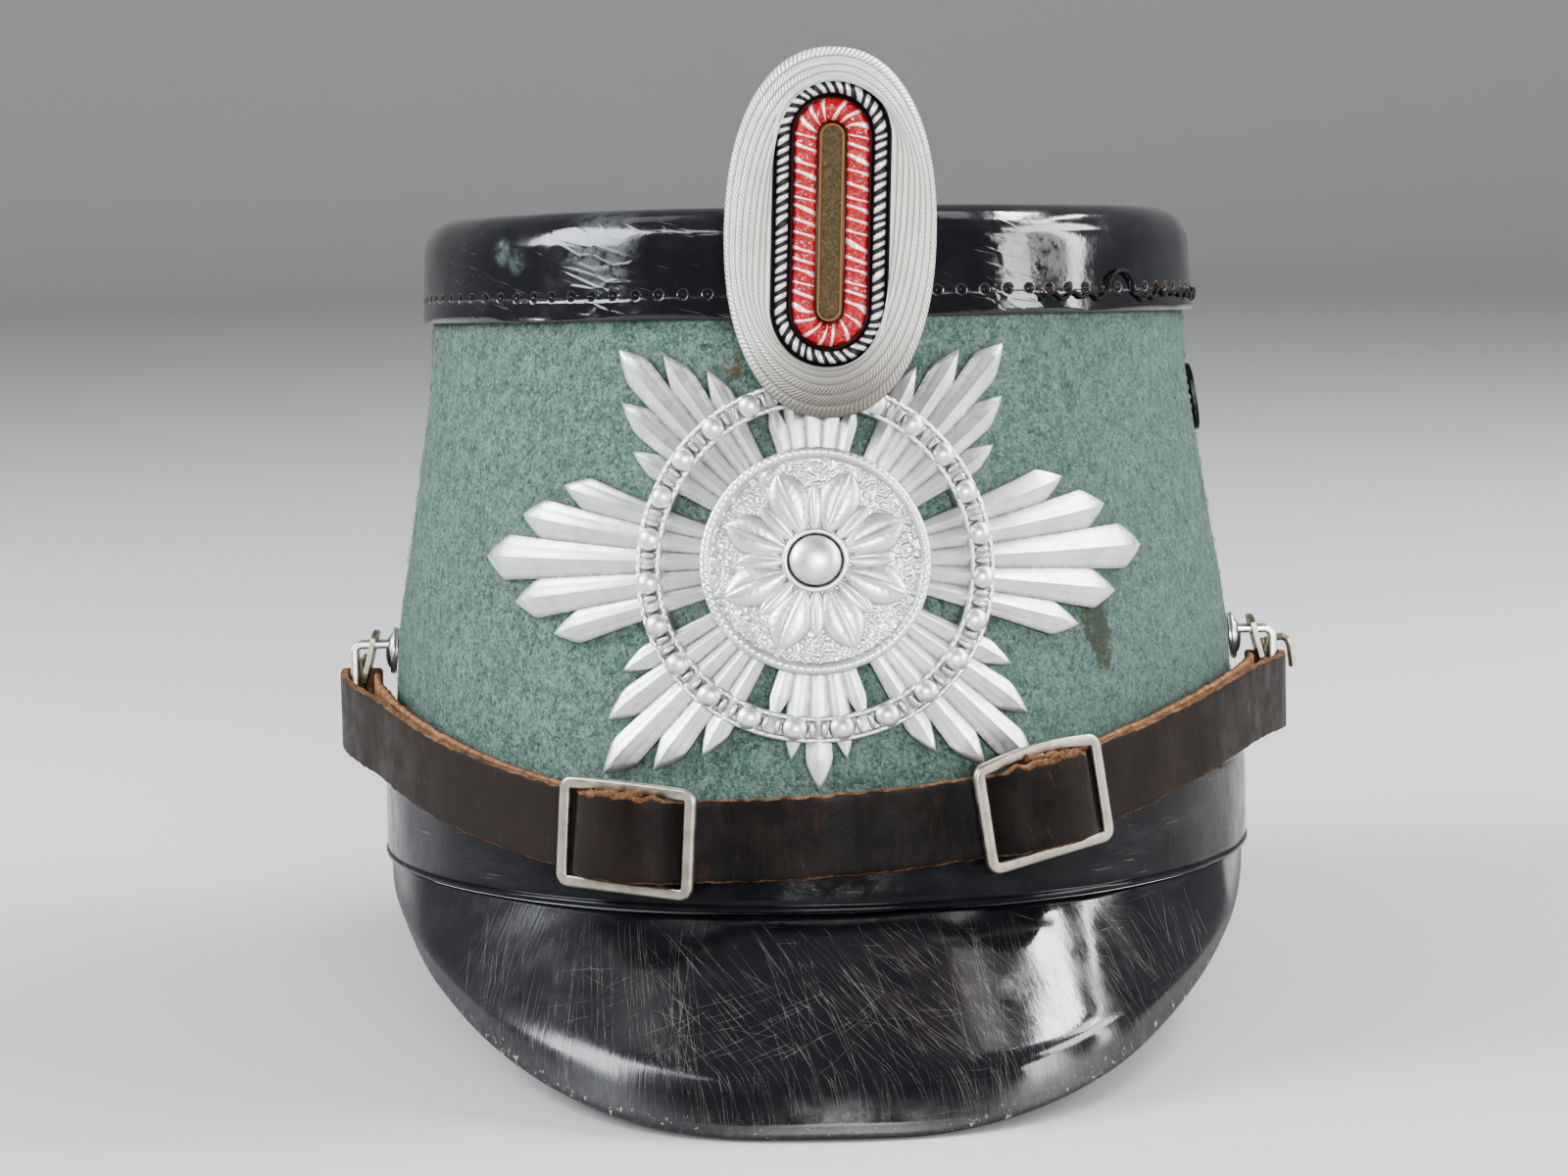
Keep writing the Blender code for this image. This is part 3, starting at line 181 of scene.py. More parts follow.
# The floor, in metres: radius of its level part, radius of the curve up from it, height of its edge.
STAGE_REACH, STAGE_CURVE, STAGE_HEIGHT = 2.4, 1.2, 2.4
COOL = (0.93, 0.96, 1.0)
WHITE = (1.0, 1.0, 1.0)
LIGHTS = [  # name, azimuth, elevation, distance, width, height, power, colour
    ("key_top", 90, 29, 1.2, 0.60, 0.25, 6.0, WHITE),
    ("key_near", 70, 11, 1.2, 0.26, 0.50, 4.8, WHITE),
    ("key_far", 92, 11, 1.2, 0.09, 0.50, 2.0, WHITE),
    ("rear_right", 117, 51, 1.3, 0.6, 0.17, 9, WHITE),
    ("rear_right_low", 117, 40, 1.3, 0.6, 0.045, 1.6, WHITE),
    ("fill_left", -81, 29, 1.25, 0.72, 0.72, 23, COOL),
    ("shoulder_right", 101, 40, 1.25, 0.22, 0.20, 1.6, WHITE),
    ("rear_right_high", 117, 64, 1.3, 0.6, 0.16, 0.5, WHITE),
    ("shoulder_left", -52, 45, 1.3, 0.6, 0.10, 1.7, COOL),
    ("rear_left", -120, 62, 1.4, 0.5, 0.3, 0.5, WHITE),
    ("front", 8, 12, 2.2, 1.0, 0.34, 44, WHITE),
]

# Camera, in the hat frame.
CAMERA_PLACE = (-5.91 * MM, -820.0 * MM, 111.94 * MM)
CAMERA_DOWN, CAMERA_ROLL = math.radians(4.14), math.radians(1.06)
CAMERA_LENS = 89.5  # mm on a 36 mm wide sensor


# ---------------------------------------------------------------- frame


def hat_frame():
    """The hat's own frame, read from the slope of the cap's deck and from the band's lower edge."""
    up = Vector((0, 0, 0))
    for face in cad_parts["top_cap"].data.polygons:
        if face.normal.z > 0.99:
            up += face.normal * face.area
    up.normalize()
    right = Vector((1, 0, 0))
    back = up.cross(right)
    points = [vert.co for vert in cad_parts["base_band"].data.vertices]
    low = min(point.dot(up) for point in points)
    rim = [point for point in points if point.dot(up) < low + 1 * MM]

    def middle(axis):
        reach = [point.dot(axis) for point in rim]
        return (min(reach) + max(reach)) / 2

    return frame_matrix(right * middle(right) + back * middle(back) + up * low, right, back, up)


def frame_matrix(origin, *axes):
    turned = Matrix([Vector(axis) for axis in axes]).transposed().to_4x4()
    return Matrix.Translation(Vector(origin)) @ turned


HAT = hat_frame()


# ---------------------------------------------------------------- rows of numbers


def unit(vectors):
    return vectors / np.linalg.norm(vectors, axis=-1, keepdims=True)


def lattice(rows, columns):
    """Every pair of a row's and a column's value."""
    return np.stack(np.meshgrid(rows, columns, indexing="ij"), -1)


def at_height(line, height):
    """Rows of (x, y) lifted to a height."""
    return np.concatenate([line, np.full((len(line), 1), height)], -1)


def full_turn(steps):
    return np.linspace(0, 2 * math.pi, steps, endpoint=False)


def arc(centre, radius, first, last, steps):
    """Points from first to last degrees on a circle. radius is one number, or one for each axis."""
    turns = np.radians(np.linspace(first, last, steps))
    return np.array(centre) + np.stack([np.cos(turns), np.sin(turns)], -1) * radius


def running_length(points):
    """Distance along rows of points, from 0."""
    steps = np.linalg.norm(np.diff(points, axis=0), axis=-1)
    return np.concatenate([[0.0], np.cumsum(steps)])


def closed_row(row):
    return np.concatenate([row, row[:1]])


def evenly(measured, line, steps):
    """Points of a line at even steps, as measured along a row of points beside it."""
    length = running_length(measured)
    even = np.linspace(0, length[-1], steps, endpoint=False)
    return np.stack([np.interp(even, length, column) for column in line.T], -1)


def rough_waves(points, size, seed, count=14):
    """Smooth unevenness of about unit height at points, its waves about size mm across."""
    rng = np.random.default_rng(seed)
    total = 0.0
    for _ in range(count):
        heading = rng.normal(size=3)
        heading *= 2 * math.pi / (size * MM * rng.uniform(0.7, 1.6) * np.linalg.norm(heading))
        total = total + np.cos(points @ heading + rng.uniform(0, 2 * math.pi))
    return total / math.sqrt(count / 2)


def uneven(points, *waves):
    """The summed height of waves, each given by its height and size in mm and its seed."""
    return sum(height * MM * rough_waves(points, size, seed) for height, size, seed in waves)


def smoothstep(value, low, high):
    share = np.clip((value - low) / (high - low), 0, 1)
    return share * share * (3 - 2 * share)


def bump_at(value, middle, half_width):
    """A round hump of height 1 at middle."""
    share = np.clip(np.abs(value - middle) / half_width, 0, 1)
    return (1 - share**2) ** 2


# ---------------------------------------------------------------- meshes from rows of points


class Patch:
    """Points, faces, flat coordinates for each face corner and named values for each point."""

    def __init__(self, points, faces, flat, values=None):
        self.points = points
        self.faces = faces
        self.flat = flat
        self.values = values or {}

    def moved(self, matrix):
        turned = np.array(matrix)
        self.points = self.points @ turned[:3, :3].T + turned[:3, 3]
        return self


def grid(points, flat=None, wrap_rows=False, wrap_columns=False, caps=False, **values):
    """Quads over points[row, column]. flat has one more row or column where that way is wrapped."""
    rows, columns = points.shape[:2]
    if flat is None:
        flat = lattice(np.arange(rows + 1), np.arange(columns + 1)) * MM
    row_steps = np.arange(rows if wrap_rows else rows - 1)
    column_steps = np.arange(columns if wrap_columns else columns - 1)
    r, c = (steps.ravel() for steps in np.meshgrid(row_steps, column_steps, indexing="ij"))
    order = np.arange(rows * columns).reshape(rows, columns)
    r2, c2 = (r + 1) % rows, (c + 1) % columns
    faces = np.stack([order[r, c], order[r, c2], order[r2, c2], order[r2, c]], -1).tolist()
    corners = np.stack([flat[r, c], flat[r, c + 1], flat[r + 1, c + 1], flat[r + 1, c]], 1).reshape(-1, 2)
    if caps:
        ends = (order[:, 0], order[::-1, -1]) if wrap_rows else (order[0, ::-1], order[-1])
        faces += [end.tolist() for end in ends]
        at_points = flat[:rows, :columns].reshape(-1, 2)
        corners = np.concatenate([corners] + [at_points[end] for end in ends])
    named = {name: np.broadcast_to(value, (rows, columns)).ravel() for name, value in values.items()}
    return Patch(points.reshape(-1, 3), faces, corners, named)


def solid(points, flat=None, **options):
    """A closed grid whose faces look outwards."""
    patch = grid(points, flat, **options)
    quads = np.array([face for face in patch.faces if len(face) == 4])
    a, b, c, d = (patch.points[quads[:, i]] - patch.points.mean(axis=0) for i in range(4))
    volume = np.einsum("ij,ij->i", a, np.cross(b, c) + np.cross(c, d)).sum()
    if volume < 0:
        ends = np.cumsum([len(face) for face in patch.faces])[:-1]
        patch.flat = np.concatenate([part[::-1] for part in np.split(patch.flat, ends)])
        patch.faces = [face[::-1] for face in patch.faces]
    return patch


def mesh_from(name, patches):
    faces, start = [], 0
    for patch in patches:
        faces += [[corner + start for corner in face] for face in patch.faces]
        start += len(patch.points)
    mesh = bpy.data.meshes.new(name)
    mesh.from_pydata(np.concatenate([patch.points for patch in patches]).tolist(), [], faces)
    layer = mesh.uv_layers.new(name="flat")
    layer.data.foreach_set("uv", np.concatenate([patch.flat for patch in patches]).astype(np.float32).ravel())
    for key in dict.fromkeys(key for patch in patches for key in patch.values):
        found = [patch.values.get(key, np.zeros(len(patch.points))) for patch in patches]
        attribute = mesh.attributes.new(key, "FLOAT", "POINT")
        attribute.data.foreach_set("value", np.concatenate(found).astype(np.float32))
    return mesh


def linked(name, mesh, material):
    mesh.shade_smooth()
    mesh.materials.append(material)
    made = bpy.data.objects.new(name, mesh)
    bpy.context.scene.collection.objects.link(made)
    return made


def piece(name, patches, material, replaced=None, sharp=None):
    """A shown piece in the hat frame that rides on the hat and stands for the named solid."""
    mesh = mesh_from(name, patches)
    mesh.transform(HAT)
    made = linked(name, mesh, material)
    if sharp:
        mesh.set_sharp_from_angle(angle=math.radians(sharp))
    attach(made, "root")
    if replaced:
        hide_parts(replaced)


def rounded_box(width, height, radius, step, corner_steps=4):
    """A closed row of (x, y) round a box with rounded corners, starting up its right side."""
    centre = (width / 2 - radius, height / 2 - radius)
    corners = [
        arc((centre[0] * x, centre[1] * y), radius, 90 * quarter, 90 * quarter + 90, corner_steps + 1)
        for quarter, (x, y) in enumerate(((1, 1), (-1, 1), (-1, -1), (1, -1)))
    ]
    points = closed_row(np.concatenate(corners))
    full = []
    for start, end in zip(points, points[1:]):
        pieces = max(1, math.ceil(math.dist(start, end) / step))
        full += [start + (end - start) * i / pieces for i in range(pieces)]
    return np.array(full)


def swept(path, side, up, section, taper=None):
    """Points of a section carried along a path. side and up are its unit x and y; taper narrows x."""
    x = section[None, :, 0] * (np.ones(len(path)) if taper is None else taper)[:, None]
    return path[:, None] + x[..., None] * side[:, None] + section[None, :, 1, None] * up[:, None]


def sweep(path, side, up, section, closed=False, taper=None):
    """A closed section carried along a path, closed into a loop or capped."""
    points = swept(path, side, up, section, taper)
    return solid(points, wrap_rows=closed, wrap_columns=True, caps=not closed)


def turned(profile, steps, closed=False, raised=None, **values):
    """A solid turned about Z from rows of (radius, height). closed says that the rows end where they start."""
    turns = full_turn(steps)
    radius, height = (column[:, None] * np.ones(steps) for column in np.asarray(profile, dtype=float).T)
    if raised:
        height = height + raised(radius, height, turns)
    points = np.stack([radius * np.cos(turns), radius * np.sin(turns), height], -1)
    return solid(points, wrap_rows=closed, wrap_columns=True, caps=not closed, **values)


# ---------------------------------------------------------------- the crown's surface


def section_at(height):
    """Half width, front and back reach of the felt at heights, rounded between the rows of the table."""
    heights, *columns = np.array(FELT_SECTIONS).T * MM
    shifts = np.linspace(-FELT.softening, FELT.softening, 5)
    height = np.asarray(height, dtype=float)
    return [
        sum(np.interp(height + shift, heights, column) for shift in shifts) / len(shifts)
        for column in columns
    ]


def crown_point(angle, height, out=0.0):
    """Points that stand out level from the felt. Angle 0 is the front and 90 degrees the viewer's right."""
    half, front, back = section_at(height)
    reach = np.where(np.cos(angle) > 0, front, back) + out
    return np.stack(
        np.broadcast_arrays((half + out) * np.sin(angle), -reach * np.cos(angle), height), -1
    )


def crown_frame(angle, height, out=0.0):
    """A point off the felt, with the surface's sideways, upward and outward directions."""
    reach = 8 * MM
    side = unit(crown_point(angle + 0.02, height) - crown_point(angle - 0.02, height))
    up = unit(crown_point(angle, height + reach) - crown_point(angle, height - reach))
    outward = unit(np.cross(side, up))
    point = crown_point(angle, height) + outward * np.asarray(out)[..., None]
    return point, side, np.cross(outward, side), outward


def wall_round_crown(profile, columns, *waves):
    """A closed uneven wall swept round the crown from (out, height) rows. Flat, it shows arc and height."""
    turns = np.linspace(-math.pi, math.pi, columns + 1)
    arcs = running_length(crown_point(turns, np.full(columns + 1, 60 * MM)))
    arcs = arcs - np.interp(0.0, turns, arcs)
    out, height = profile.T[..., None] * np.ones(columns)
    out = out + uneven(crown_point(turns[:-1], height, out), *waves)
    points = crown_point(turns[:-1], height, out)
    flat = lattice(closed_row(profile[:, 1]), arcs)[..., ::-1]
    return solid(points, flat, wrap_rows=True, wrap_columns=True)


# ---------------------------------------------------------------- materials


class Paint:
    """Builds one material's nodes with short calls. Sizes are in millimetres, places in metres."""

    def __init__(self, name):
        self.material = bpy.data.materials.new(name)
        self.material.use_nodes = True
        self.nodes = self.material.node_tree.nodes
        self.links = self.material.node_tree.links
        self.seed = 0.0
        self.colour = self.rough = self.normal = None

    def put(self, socket, value):
        if isinstance(value, bpy.types.NodeSocket):
            self.links.new(value, socket)
        elif socket.type == "RGBA":
            socket.default_value = (*value[:3], 1.0)
        else:
            socket.default_value = value

    def made(self, kind, inputs, output=0, **settings):
        node = self.nodes.new("ShaderNode" + kind)
        for key, value in settings.items():
            setattr(node, key, value)
        for key, value in inputs.items():
            self.put(node.inputs[key], value)
        return node.outputs[output]

    def place(self):
        """Place in the hat frame. The pieces' own coordinates are the row frame's."""
        back, turn, _ = HAT.inverted().decompose()
        inputs = {"Vector": self.made("TexCoord", {}, "Object"), "Location": back, "Rotation": turn.to_euler()}
        return self.made("Mapping", inputs)

    def flat(self):
        """Place on the piece's own flat pattern."""
        return self.made("UVMap", {}, uv_map="flat")

    def value(self, name):
        return self.made("Attribute", {}, "Fac", attribute_name=name)

    def moved(self, vector, offset):
        return self.made("VectorMath", {0: vector, 1: offset}, operation="ADD")

    def joined(self, x, y, z=0.0):
        return self.made("CombineXYZ", {0: x, 1: y, 2: z})

    def scaled(self, vector, *factors):
        return self.made("VectorMath", {0: vector, 1: factors}, operation="MULTIPLY")

    def turned(self, vector, angle):
        return self.made("Mapping", {"Vector": vector, "Rotation": (0, 0, angle)})

    def part(self, vector, axis):
        return self.made("SeparateXYZ", {0: vector}, "XYZ".index(axis))

    def noise(self, vector, size, detail=3.0, roughness=0.55, distortion=0.0):
        """Cloudy noise from 0 to 1, its clouds about size across. Each call's clouds lie elsewhere."""
        self.seed += 3.7
        away = self.moved(vector, (self.seed * (size * MM),) * 3)
        inputs = {"Vector": away, "Scale": 1 / (size * MM), "Detail": detail, "Roughness": roughness}
        return self.made("TexNoise", {**inputs, "Distortion": distortion})

    def clouds(self, vector, size, detail, roughness, low, high, start=0.0, end=1.0):
        """Noise with its contrast drawn out: start where it is below low, end where it is above high."""
        return self.between(self.noise(vector, size, detail, roughness), low, high, start, end)

    def scratches(self, vector, size, low, high, patches):
        """Long thin marks where patches allow them."""
        return self.times(self.clouds(vector, size, 2, 0.6, low, high), patches)

    def cells(self, vector, size, feature):
        """Distances in cells about size across."""
        inputs = {"Vector": vector, "Scale": 1 / (size * MM), "Randomness": 1.0}
        return self.made("TexVoronoi", inputs, "Distance", feature=feature)

    def maths(self, operation, a, b=0.0):
        return self.made("Math", {0: a, 1: b}, operation=operation)

    def times(self, a, b):
        return self.maths("MULTIPLY", a, b)

    def plus(self, a, b):
        return self.maths("ADD", a, b)

    def minus(self, a, b):
        return self.maths("SUBTRACT", a, b)

    def most(self, a, b):
        return self.maths("MAXIMUM", a, b)

    def between(self, value, low, high, start=0.0, end=1.0):
        """start below low, end above high, and a smooth slope between them."""
        inputs = {"Value": value, "From Min": low, "From Max": high, "To Min": start, "To Max": end}
        return self.made("MapRange", inputs, interpolation_type="SMOOTHSTEP")

    def from_to(self, value, low, high, start=0.0, end=1.0):
        """As between, with low and high in millimetres."""
        return self.between(value, low * MM, high * MM, start, end)

    def far(self, vector, point):
        return self.made("VectorMath", {0: vector, 1: tuple(point)}, "Value", operation="DISTANCE")

    def near(self, vector, point, radius, soft):
        """1 within radius of a point, 0 beyond radius + soft."""
        distance = self.far(vector, point)
        return self.between(distance, radius * MM, radius * MM + soft * MM, 1.0, 0.0)

    def mixed(self, share, first, second):
        return self.made("Mix", {0: share, 6: first, 7: second}, 2, data_type="RGBA", blend_type="MIX")

    def blend(self, share, first, second):
        return self.made("Mix", {0: share, 2: first, 3: second})

    def tint(self, mask, colour, share=None):
        """Lays a colour over what is there, by a mask and perhaps a share of it."""
        self.colour = self.mixed(mask if share is None else self.times(mask, share), self.colour, colour)

    def roughen(self, mask, rough, share=None):
        self.rough = self.blend(mask if share is None else self.times(mask, share), self.rough, rough)

    def raised(self, height, distance):
        """Raises the surface by height times distance, over what is raised already."""
        inputs = {"Height": height, "Distance": distance * MM, "Strength": 1.0}
        if self.normal is not None:
            inputs["Normal"] = self.normal
        self.normal = self.made("Bump", inputs)

    def finish(self, **sockets):
        """Fills the shader's sockets with what was painted, and with the values given."""
        painted = {"Base Color": self.colour, "Roughness": self.rough, "Normal": self.normal}
        given = {name.replace("_", " "): value for name, value in sockets.items()}
        shader = self.nodes["Principled BSDF"]
        for name, value in {**painted, **given}.items():
            if value is not None:
                self.put(shader.inputs[name], value)
        return self.material


def felt_finish():
    paint = Paint("felt")
    place = paint.place()
    wide = paint.noise(place, 22, 3)
    clouds = paint.noise(place, 2.6, 4, 0.65)
    grain = paint.noise(place, 0.75, 3, 0.7, 0.6)
    paint.colour = paint.mixed(paint.between(clouds, 0.34, 0.68), (0.076, 0.131, 0.112), (0.156, 0.232, 0.199))
    paint.tint(paint.between(grain, 0.50, 0.66, 0, 0.75), (0.26, 0.355, 0.31))
    paint.tint(paint.between(grain, 0.32, 0.48, 0.85, 0), (0.020, 0.042, 0.036))
    fleck = paint.noise(paint.scaled(place, 1, 1, 1.6), 1.5, 2, 0.8, 1.5)
    paint.tint(paint.between(fleck, 0.64, 0.72, 0, 0.5), (0.34, 0.35, 0.24))
    paint.tint(paint.between(wide, 0.3, 0.7, 0.12, 0), (0.03, 0.05, 0.045))
    upward = paint.noise(place, 4, 4, 0.7)
    sideways = paint.between(paint.noise(place, 3, 5, 0.75, 0.5), 0.2, 0.8, -2.4 * MM, 2.4 * MM)
    ragged = paint.joined(sideways, 0.0, paint.between(upward, 0.2, 0.8, -2.6 * MM, 2.6 * MM))
    wobbled = paint.moved(paint.scaled(place, 1, 1, SPOT_FLATTENING), ragged)
    for angle, height, radius, soft, stain, share in FELT_SPOTS:
        point = crown_point(math.radians(angle), height * MM) * (1, 1, SPOT_FLATTENING)
        paint.tint(paint.near(wobbled, point, radius, soft), stain, share)
    # painted shade: the felt is darkened towards the viewer's right
    paint.tint(paint.from_to(paint.part(place, "X"), 10, 60, 0.0, 0.34), (0.050, 0.092, 0.080))
    paint.raised(paint.noise(place, 0.42, 4, 0.75, 0.8), 0.55)
    paint.raised(clouds, 0.5)
    return paint.finish(
        Roughness=0.96, Specular_IOR_Level=0.15,
        Sheen_Weight=0.12, Sheen_Roughness=0.55, Sheen_Tint=(0.72, 0.86, 0.80),
    )


def peak_finish():
    """Black lacquer on leather, worn at the peak's rim and off its middle."""
    paint = Paint("peak_lacquer")
    place, flat = paint.place(), paint.flat()
    dust = paint.noise(place, 1.1, 5, 0.75)
    wide = paint.noise(place, 26, 3)
    smear = paint.clouds(paint.scaled(flat, 0.3, 1, 1), 7, 4, 0.7, 0.4, 0.8, 0, 0.3)
    paint.colour = paint.mixed(smear, (0.006, 0.006, 0.008), (0.03, 0.031, 0.034))
    paint.rough = paint.clouds(place, 9, 5, 0.65, 0.3, 0.75, 0.07, 0.2)
    dulled = paint.between(wide, 0.5, 0.62)
    paint.roughen(paint.scratches(paint.scaled(flat, 0.05, 1, 1), 0.5, 0.66, 0.72, dulled), 0.55, 0.6)
    paint.raised(paint.noise(place, 5, 3, 0.6), 0.025)
    paint.raised(paint.noise(place, 1.0, 3, 0.6), 0.006)
    paint.tint(paint.between(dust, 0.66, 0.74), (0.2, 0.2, 0.19), 0.35)
    sideways = paint.part(place, "X")
    left = paint.from_to(sideways, -34, -8, 1.0, 0.0)
    paint.roughen(left, paint.clouds(place, 6, 5, 0.7, 0.3, 0.7, 0.18, 0.27))
    ridges = paint.noise(paint.scaled(flat, 1, 0.04, 1), 0.7, 3, 0.6)
    paint.raised(paint.times(ridges, paint.from_to(sideways, -28, -14, 1.0, 0.15)), 0.06)
    brown = paint.near(place, (17 * MM, -118 * MM, -14 * MM), 4, 14)
    brown = paint.times(brown, paint.clouds(flat, 7, 5, 0.7, 0.4, 0.65))
    paint.tint(brown, (0.034, 0.018, 0.013), 0.45)
    worn = paint.value("worn")
    chips = paint.plus(paint.noise(place, 1.5, 5, 0.8), paint.times(worn, 0.22))
    off_middle = paint.from_to(paint.maths("ABSOLUTE", sideways), 12, 32)
    chips = paint.between(paint.plus(chips, paint.times(off_middle, 0.03)), 0.84, 0.88)
    rim_dust = paint.times(worn, paint.clouds(place, 1.6, 5, 0.8, 0.40, 0.72))
    paint.tint(rim_dust, (0.055, 0.054, 0.050), 0.5)
    paint.tint(chips, (0.42, 0.41, 0.38), 0.8)
    rim = paint.between(worn, 0.86, 0.97)
    paint.roughen(paint.most(paint.times(worn, off_middle), rim), 0.46)
    return paint.finish(Specular_IOR_Level=0.6)


def cap_holes(paint, place, flat, height):
    """Masks of the pierced holes, painted as dark shade, and of the painted highlight along the scored line and on
    the holes' lower rims.
    """
    along = paint.maths("FRACT", paint.plus(paint.times(paint.part(flat, "X"), 1 / HOLE.pitch), 0.5))
    across = paint.times(paint.minus(along, 0.5), HOLE.pitch)
    down = paint.minus(height, HOLE.height)
    ragged = paint.made("TexNoise", {"Vector": place, "Scale": 900.0}, "Color")
    centre = paint.moved(paint.joined(across, down), paint.scaled(ragged, 0.5 * MM, 0.5 * MM, 0))
    distance = paint.far(centre, (0.25 * MM, 0.25 * MM, 0))
    hole_shade_and_rust = paint.from_to(distance, 0.95, 1.12, 1.0, 0.0)
    # painted highlight on the lower edge of each hole
    rim = paint.times(paint.from_to(distance, 0.8, 1.15, 1.0, 0.0), paint.from_to(down, -1.0, -0.2, 1.0, 0.0))
    # painted highlight along the scored line
    off_line = paint.maths("ABSOLUTE", paint.minus(height, CAP.score))
    line = paint.times(paint.from_to(off_line, 0.06, 0.2, 1.0, 0.0), paint.clouds(place, 3, 3, 0.7, 0.40, 0.60))
    return hole_shade_and_rust, paint.most(rim, line)


def cap_finish():
    paint = Paint("cap_lacquer")
    place, flat = paint.place(), paint.flat()
    height = paint.part(flat, "Y")
    smear = paint.clouds(place, 8, 5, 0.7, 0.45, 0.8, 0, 0.35)
    paint.colour = paint.mixed(smear, (0.006, 0.006, 0.008), (0.028, 0.03, 0.034))
    wide = paint.noise(place, 30, 2)
    paint.rough = paint.clouds(place, 7, 6, 0.7, 0.35, 0.72, 0.06, 0.20)
    streaks = paint.scaled(paint.turned(flat, 0.2), 0.04, 1, 1)
    scratches = paint.scratches(streaks, 0.5, 0.66, 0.71, paint.between(wide, 0.46, 0.6))
    side = paint.between(height, CAP.top - 3 * MM, CAP.top - 0.5 * MM, 1.0, 0.0)
    scratches = paint.times(scratches, side)
    paint.tint(scratches, (0.2, 0.21, 0.22), 0.3)
    paint.roughen(scratches, 0.4, 0.4)
    for angle, level, radius, soft, tint, share in CAP_SCUFFS:
        mask = paint.near(place, crown_point(math.radians(angle), level * MM, CAP_OUT), radius, soft)
        broken = paint.times(mask, paint.clouds(place, 3, 6, 0.75, 0.36, 0.56))
        paint.tint(broken, tint, share)
        paint.roughen(broken, 0.42, 0.5)
    hole_shade_and_rust, pale = cap_holes(paint, place, flat, height)
    # painted highlight: the scored line and the holes' lower rims are painted pale
    paint.tint(pale, (0.27, 0.26, 0.24), 0.35)
    paint.roughen(pale, 0.5, 0.6)
    patches = paint.clouds(place, 1.2, 3, 0.7, 0.52, 0.64)
    rusty = paint.times(paint.from_to(paint.part(place, "X"), 20, 60), patches)
    # painted shade: the holes are painted near-black as if seen through, with rust in some
    paint.tint(hole_shade_and_rust, paint.mixed(paint.times(rusty, 0.8), (0.002, 0.002, 0.002), (0.16, 0.07, 0.02)))
    paint.roughen(hole_shade_and_rust, 0.9)
    raw = paint.between(height, CAP.low + 0.12 * MM, CAP.low + 0.35 * MM, 1.0, 0.0)
    paint.tint(raw, (0.022, 0.014, 0.009), 0.8)
    paint.roughen(raw, 0.8)
    paint.raised(paint.noise(place, 6, 3, 0.6), 0.07)
    wrinkle = paint.cells(paint.scaled(paint.turned(flat, 0.25), 0.35, 1, 1), 2.6, "DISTANCE_TO_EDGE")
    wrinkled = paint.times(paint.between(wrinkle, 0.0, 0.16, 1.0, 0.0), paint.between(wide, 0.50, 0.60))
    paint.raised(paint.times(wrinkled, side), 0.04)
    paint.raised(paint.noise(place, 0.9, 3, 0.6), 0.012)
    return paint.finish(Specular_IOR_Level=0.5, Coat_Weight=0.35, Coat_Roughness=0.05)


def band_finish():
    paint = Paint("band_lacquer")
    place, flat = paint.place(), paint.flat()
    smear = paint.clouds(paint.scaled(flat, 0.25, 1, 1), 6, 4, 0.7, 0.4, 0.8, 0, 0.35)
    paint.colour = paint.mixed(smear, (0.007, 0.007, 0.009), (0.04, 0.041, 0.044))
    paint.rough = paint.clouds(place, 7, 5, 0.65, 0.3, 0.75, 0.10, 0.28)
    scratches = paint.clouds(paint.scaled(flat, 0.05, 1, 1), 0.6, 2, 0.6, 0.64, 0.70)
    scratches = paint.times(scratches, paint.between(paint.noise(place, 20, 3), 0.48, 0.6))
    paint.tint(scratches, (0.22, 0.22, 0.21), 0.35)
    scuff = paint.near(place, crown_point(math.radians(48.2), 7.0 * MM, BAND.outer), 1.8, 2.2)
    scuff = paint.times(scuff, paint.clouds(place, 1.1, 5, 0.8, 0.42, 0.55))
    paint.tint(scuff, (0.012, 0.011, 0.010), 0.7)
    paint.tint(paint.clouds(place, 0.9, 5, 0.8, 0.66, 0.74), (0.2, 0.19, 0.17), 0.3)
    paint.roughen(paint.most(scuff, paint.times(scratches, 0.6)), 0.6)
    paint.raised(paint.noise(place, 5, 3, 0.6), 0.12)
    return paint.finish(Specular_IOR_Level=0.16)


